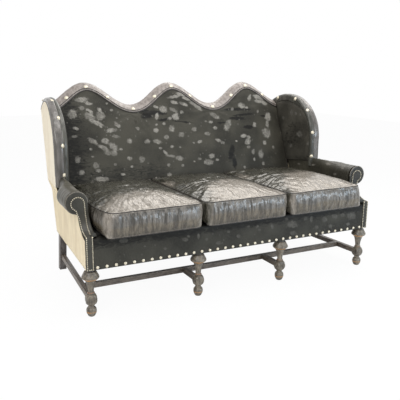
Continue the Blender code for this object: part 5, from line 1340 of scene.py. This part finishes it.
def vertex_values(mesh, key):
    values = np.empty(len(mesh.vertices) * 3)
    mesh.vertices.foreach_get(key, values)
    return values.reshape(-1, 3)


def move_vertices(mesh, points):
    mesh.vertices.foreach_set("co", points.ravel())
    mesh.update()


def swell(piece, unit, u, v):
    """Lets the cover swell between its pinned seams as cloth, and keeps the folds that this makes."""
    scene, w = bpy.context.scene, unit[:, 2]
    before, normals = vertex_values(piece.data, "co"), vertex_values(piece.data, "normal")
    rim = np.maximum(np.abs(unit[:, 0]), np.abs(unit[:, 1]))
    top, box = (w > 0.999) & (rim < 0.999), np.abs(w) < 0.999
    seams = piece.vertex_groups.new(name="seams")
    seams.add([int(index) for index in np.flatnonzero(~(top | box))], 1.0, "REPLACE")
    cloth = piece.modifiers.new("cloth", "CLOTH")
    settings = cloth.settings
    settings.quality, settings.mass, settings.shrink_min = 5, 0.25, -0.075
    settings.tension_stiffness = settings.compression_stiffness = 14.0
    settings.shear_stiffness, settings.bending_stiffness = 6.0, 0.25
    settings.use_pressure, settings.uniform_pressure_force = True, 4.0
    settings.vertex_group_mass = "seams"
    settings.effector_weights.gravity = 0.0
    cloth.collision_settings.use_collision = False
    cloth.point_cache.frame_start, cloth.point_cache.frame_end = 1, 20
    for step in range(1, 21):
        scene.frame_set(step)
    after = vertex_values(piece.evaluated_get(bpy.context.evaluated_depsgraph_get()).data, "co")
    piece.modifiers.clear()
    piece.vertex_groups.clear()
    scene.frame_set(1)
    lift = np.sum((after - before) * normals, axis=1)
    for part, across, along in ((top, u, v), (box, w, u + v)):
        terms = np.stack([across[part] ** i * along[part] ** j for i in range(5) for j in range(5)], axis=-1)
        lift[part] -= terms @ np.linalg.lstsq(terms, lift[part], rcond=None)[0]
    lift[~(top | box)] = 0.0
    move_vertices(piece.data, before + normals * (FOLD_HEIGHT * np.tanh(lift / FOLD_SCALE))[:, None])


def wrinkle_cushion(piece, centre, width, seed):
    """Gathers on the boxing, radiating pull folds and fine crinkles on the top."""
    mesh = piece.data
    points, normals = vertex_values(mesh, "co"), vertex_values(mesh, "normal")
    boxing, foot, top = (np.empty(len(points)) for _ in range(3))
    for key, values in (("boxing", boxing), ("foot", foot), ("top_side", top)):
        mesh.attributes[key].data.foreach_get("value", values)
    local = points - (centre, CUSHION_Y + SHIFT, DECK_HEIGHT)
    u, v = local[:, 0] / (width / 2), local[:, 1] / CUSHION_HALF_DEPTH
    rim = np.maximum(np.abs(u), np.abs(v))
    run, height = local * (1.0, 1.0, 0.15), np.clip(foot, 0, 1)
    gather = 0.9 * cloud(run, 30, seed, 2) + 0.8 * np.abs(cloud(run, (46, 46, 30), seed + 3, 2)) - 0.35
    fade = np.clip(np.sin(math.pi * np.clip(height * 0.94 + 0.05, 0.0, 1.0)), 0, 1) ** 0.6
    push = boxing * gather * 0.0062 * fade * (1 - 0.45 * height)
    push = push + boxing * 0.009 * np.sin(math.pi * height) * (1.15 - 0.6 * height)
    ring = np.stack([np.arctan2(v, u) * 2.6, rim * 1.1, np.full(len(u), seed)], axis=-1)
    pulls = cloud(ring, (4.5, 1.2, 1.0), seed, 3) * ease((rim - 0.35) / 0.6) * ease((1.0 - rim) / 0.05)
    fine = cloud(local, (42, 26, 30), seed + 6, 2) * ease((1.0 - rim) / 0.03)
    push = push + top * (0.0042 * pulls + 0.0030 * cloud(local, (9, 7, 9), seed + 5) + 0.0016 * fine)
    for corner_u, depth in ((-1, 0.0065), (1, 0.0035)):
        away = np.hypot(u - corner_u * 1.02, (v - 1.0) * 1.35)
        turn = np.arctan2(v - 1.0, u - corner_u * 1.02)
        fold = np.sin(turn * 17 + 3 * cloud(local, 8, seed + 8, 2))
        push = push + top * depth * fold * ridge(away - 0.35, 0.25)
    move_vertices(mesh, points + normals * push[:, None])


def make_cushions():
    for side, centre, width, seed, sheen_arc in (
        ("left", -0.560, 0.566, 1.3, (-0.36, 0.0, 0.42, 1.7, 0.0)),
        ("middle", 0.0, 0.548, 5.9, (-0.20, 0.20, 0.80, 1.0, 1.0)),
        ("right", 0.560, 0.566, 9.2, (-0.04, 0.25, 0.85, 0.9, 1.0)),
    ):
        piece = make_cushion(f"leather_cushion_{side}", f"{side}_cushion", centre, width, seed, sheen_arc)
        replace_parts(piece, f"seat_cushion_{side}")


make_floor()
make_world()
make_lamps()
make_legs()
make_inside_back()
make_corner_welts()
make_crest()
make_outer_back()
for side_sign, side_word in SIDES:
    arm_body = arm_cutter(side_sign)
    make_wing_band(side_sign, side_word, arm_body)
    make_wing_pad(side_sign, side_word, arm_body)
    make_wing_outer(side_sign, side_word)
    make_wing_nails(side_sign, side_word)
    bpy.data.objects.remove(arm_body)
    make_arm(side_sign, side_word)
    make_arm_front(side_sign, side_word)
    make_side_panel(side_sign, side_word)
make_apron()
make_cushions()
make_hidden()
dress_wood()

bpy.context.view_layer.update()
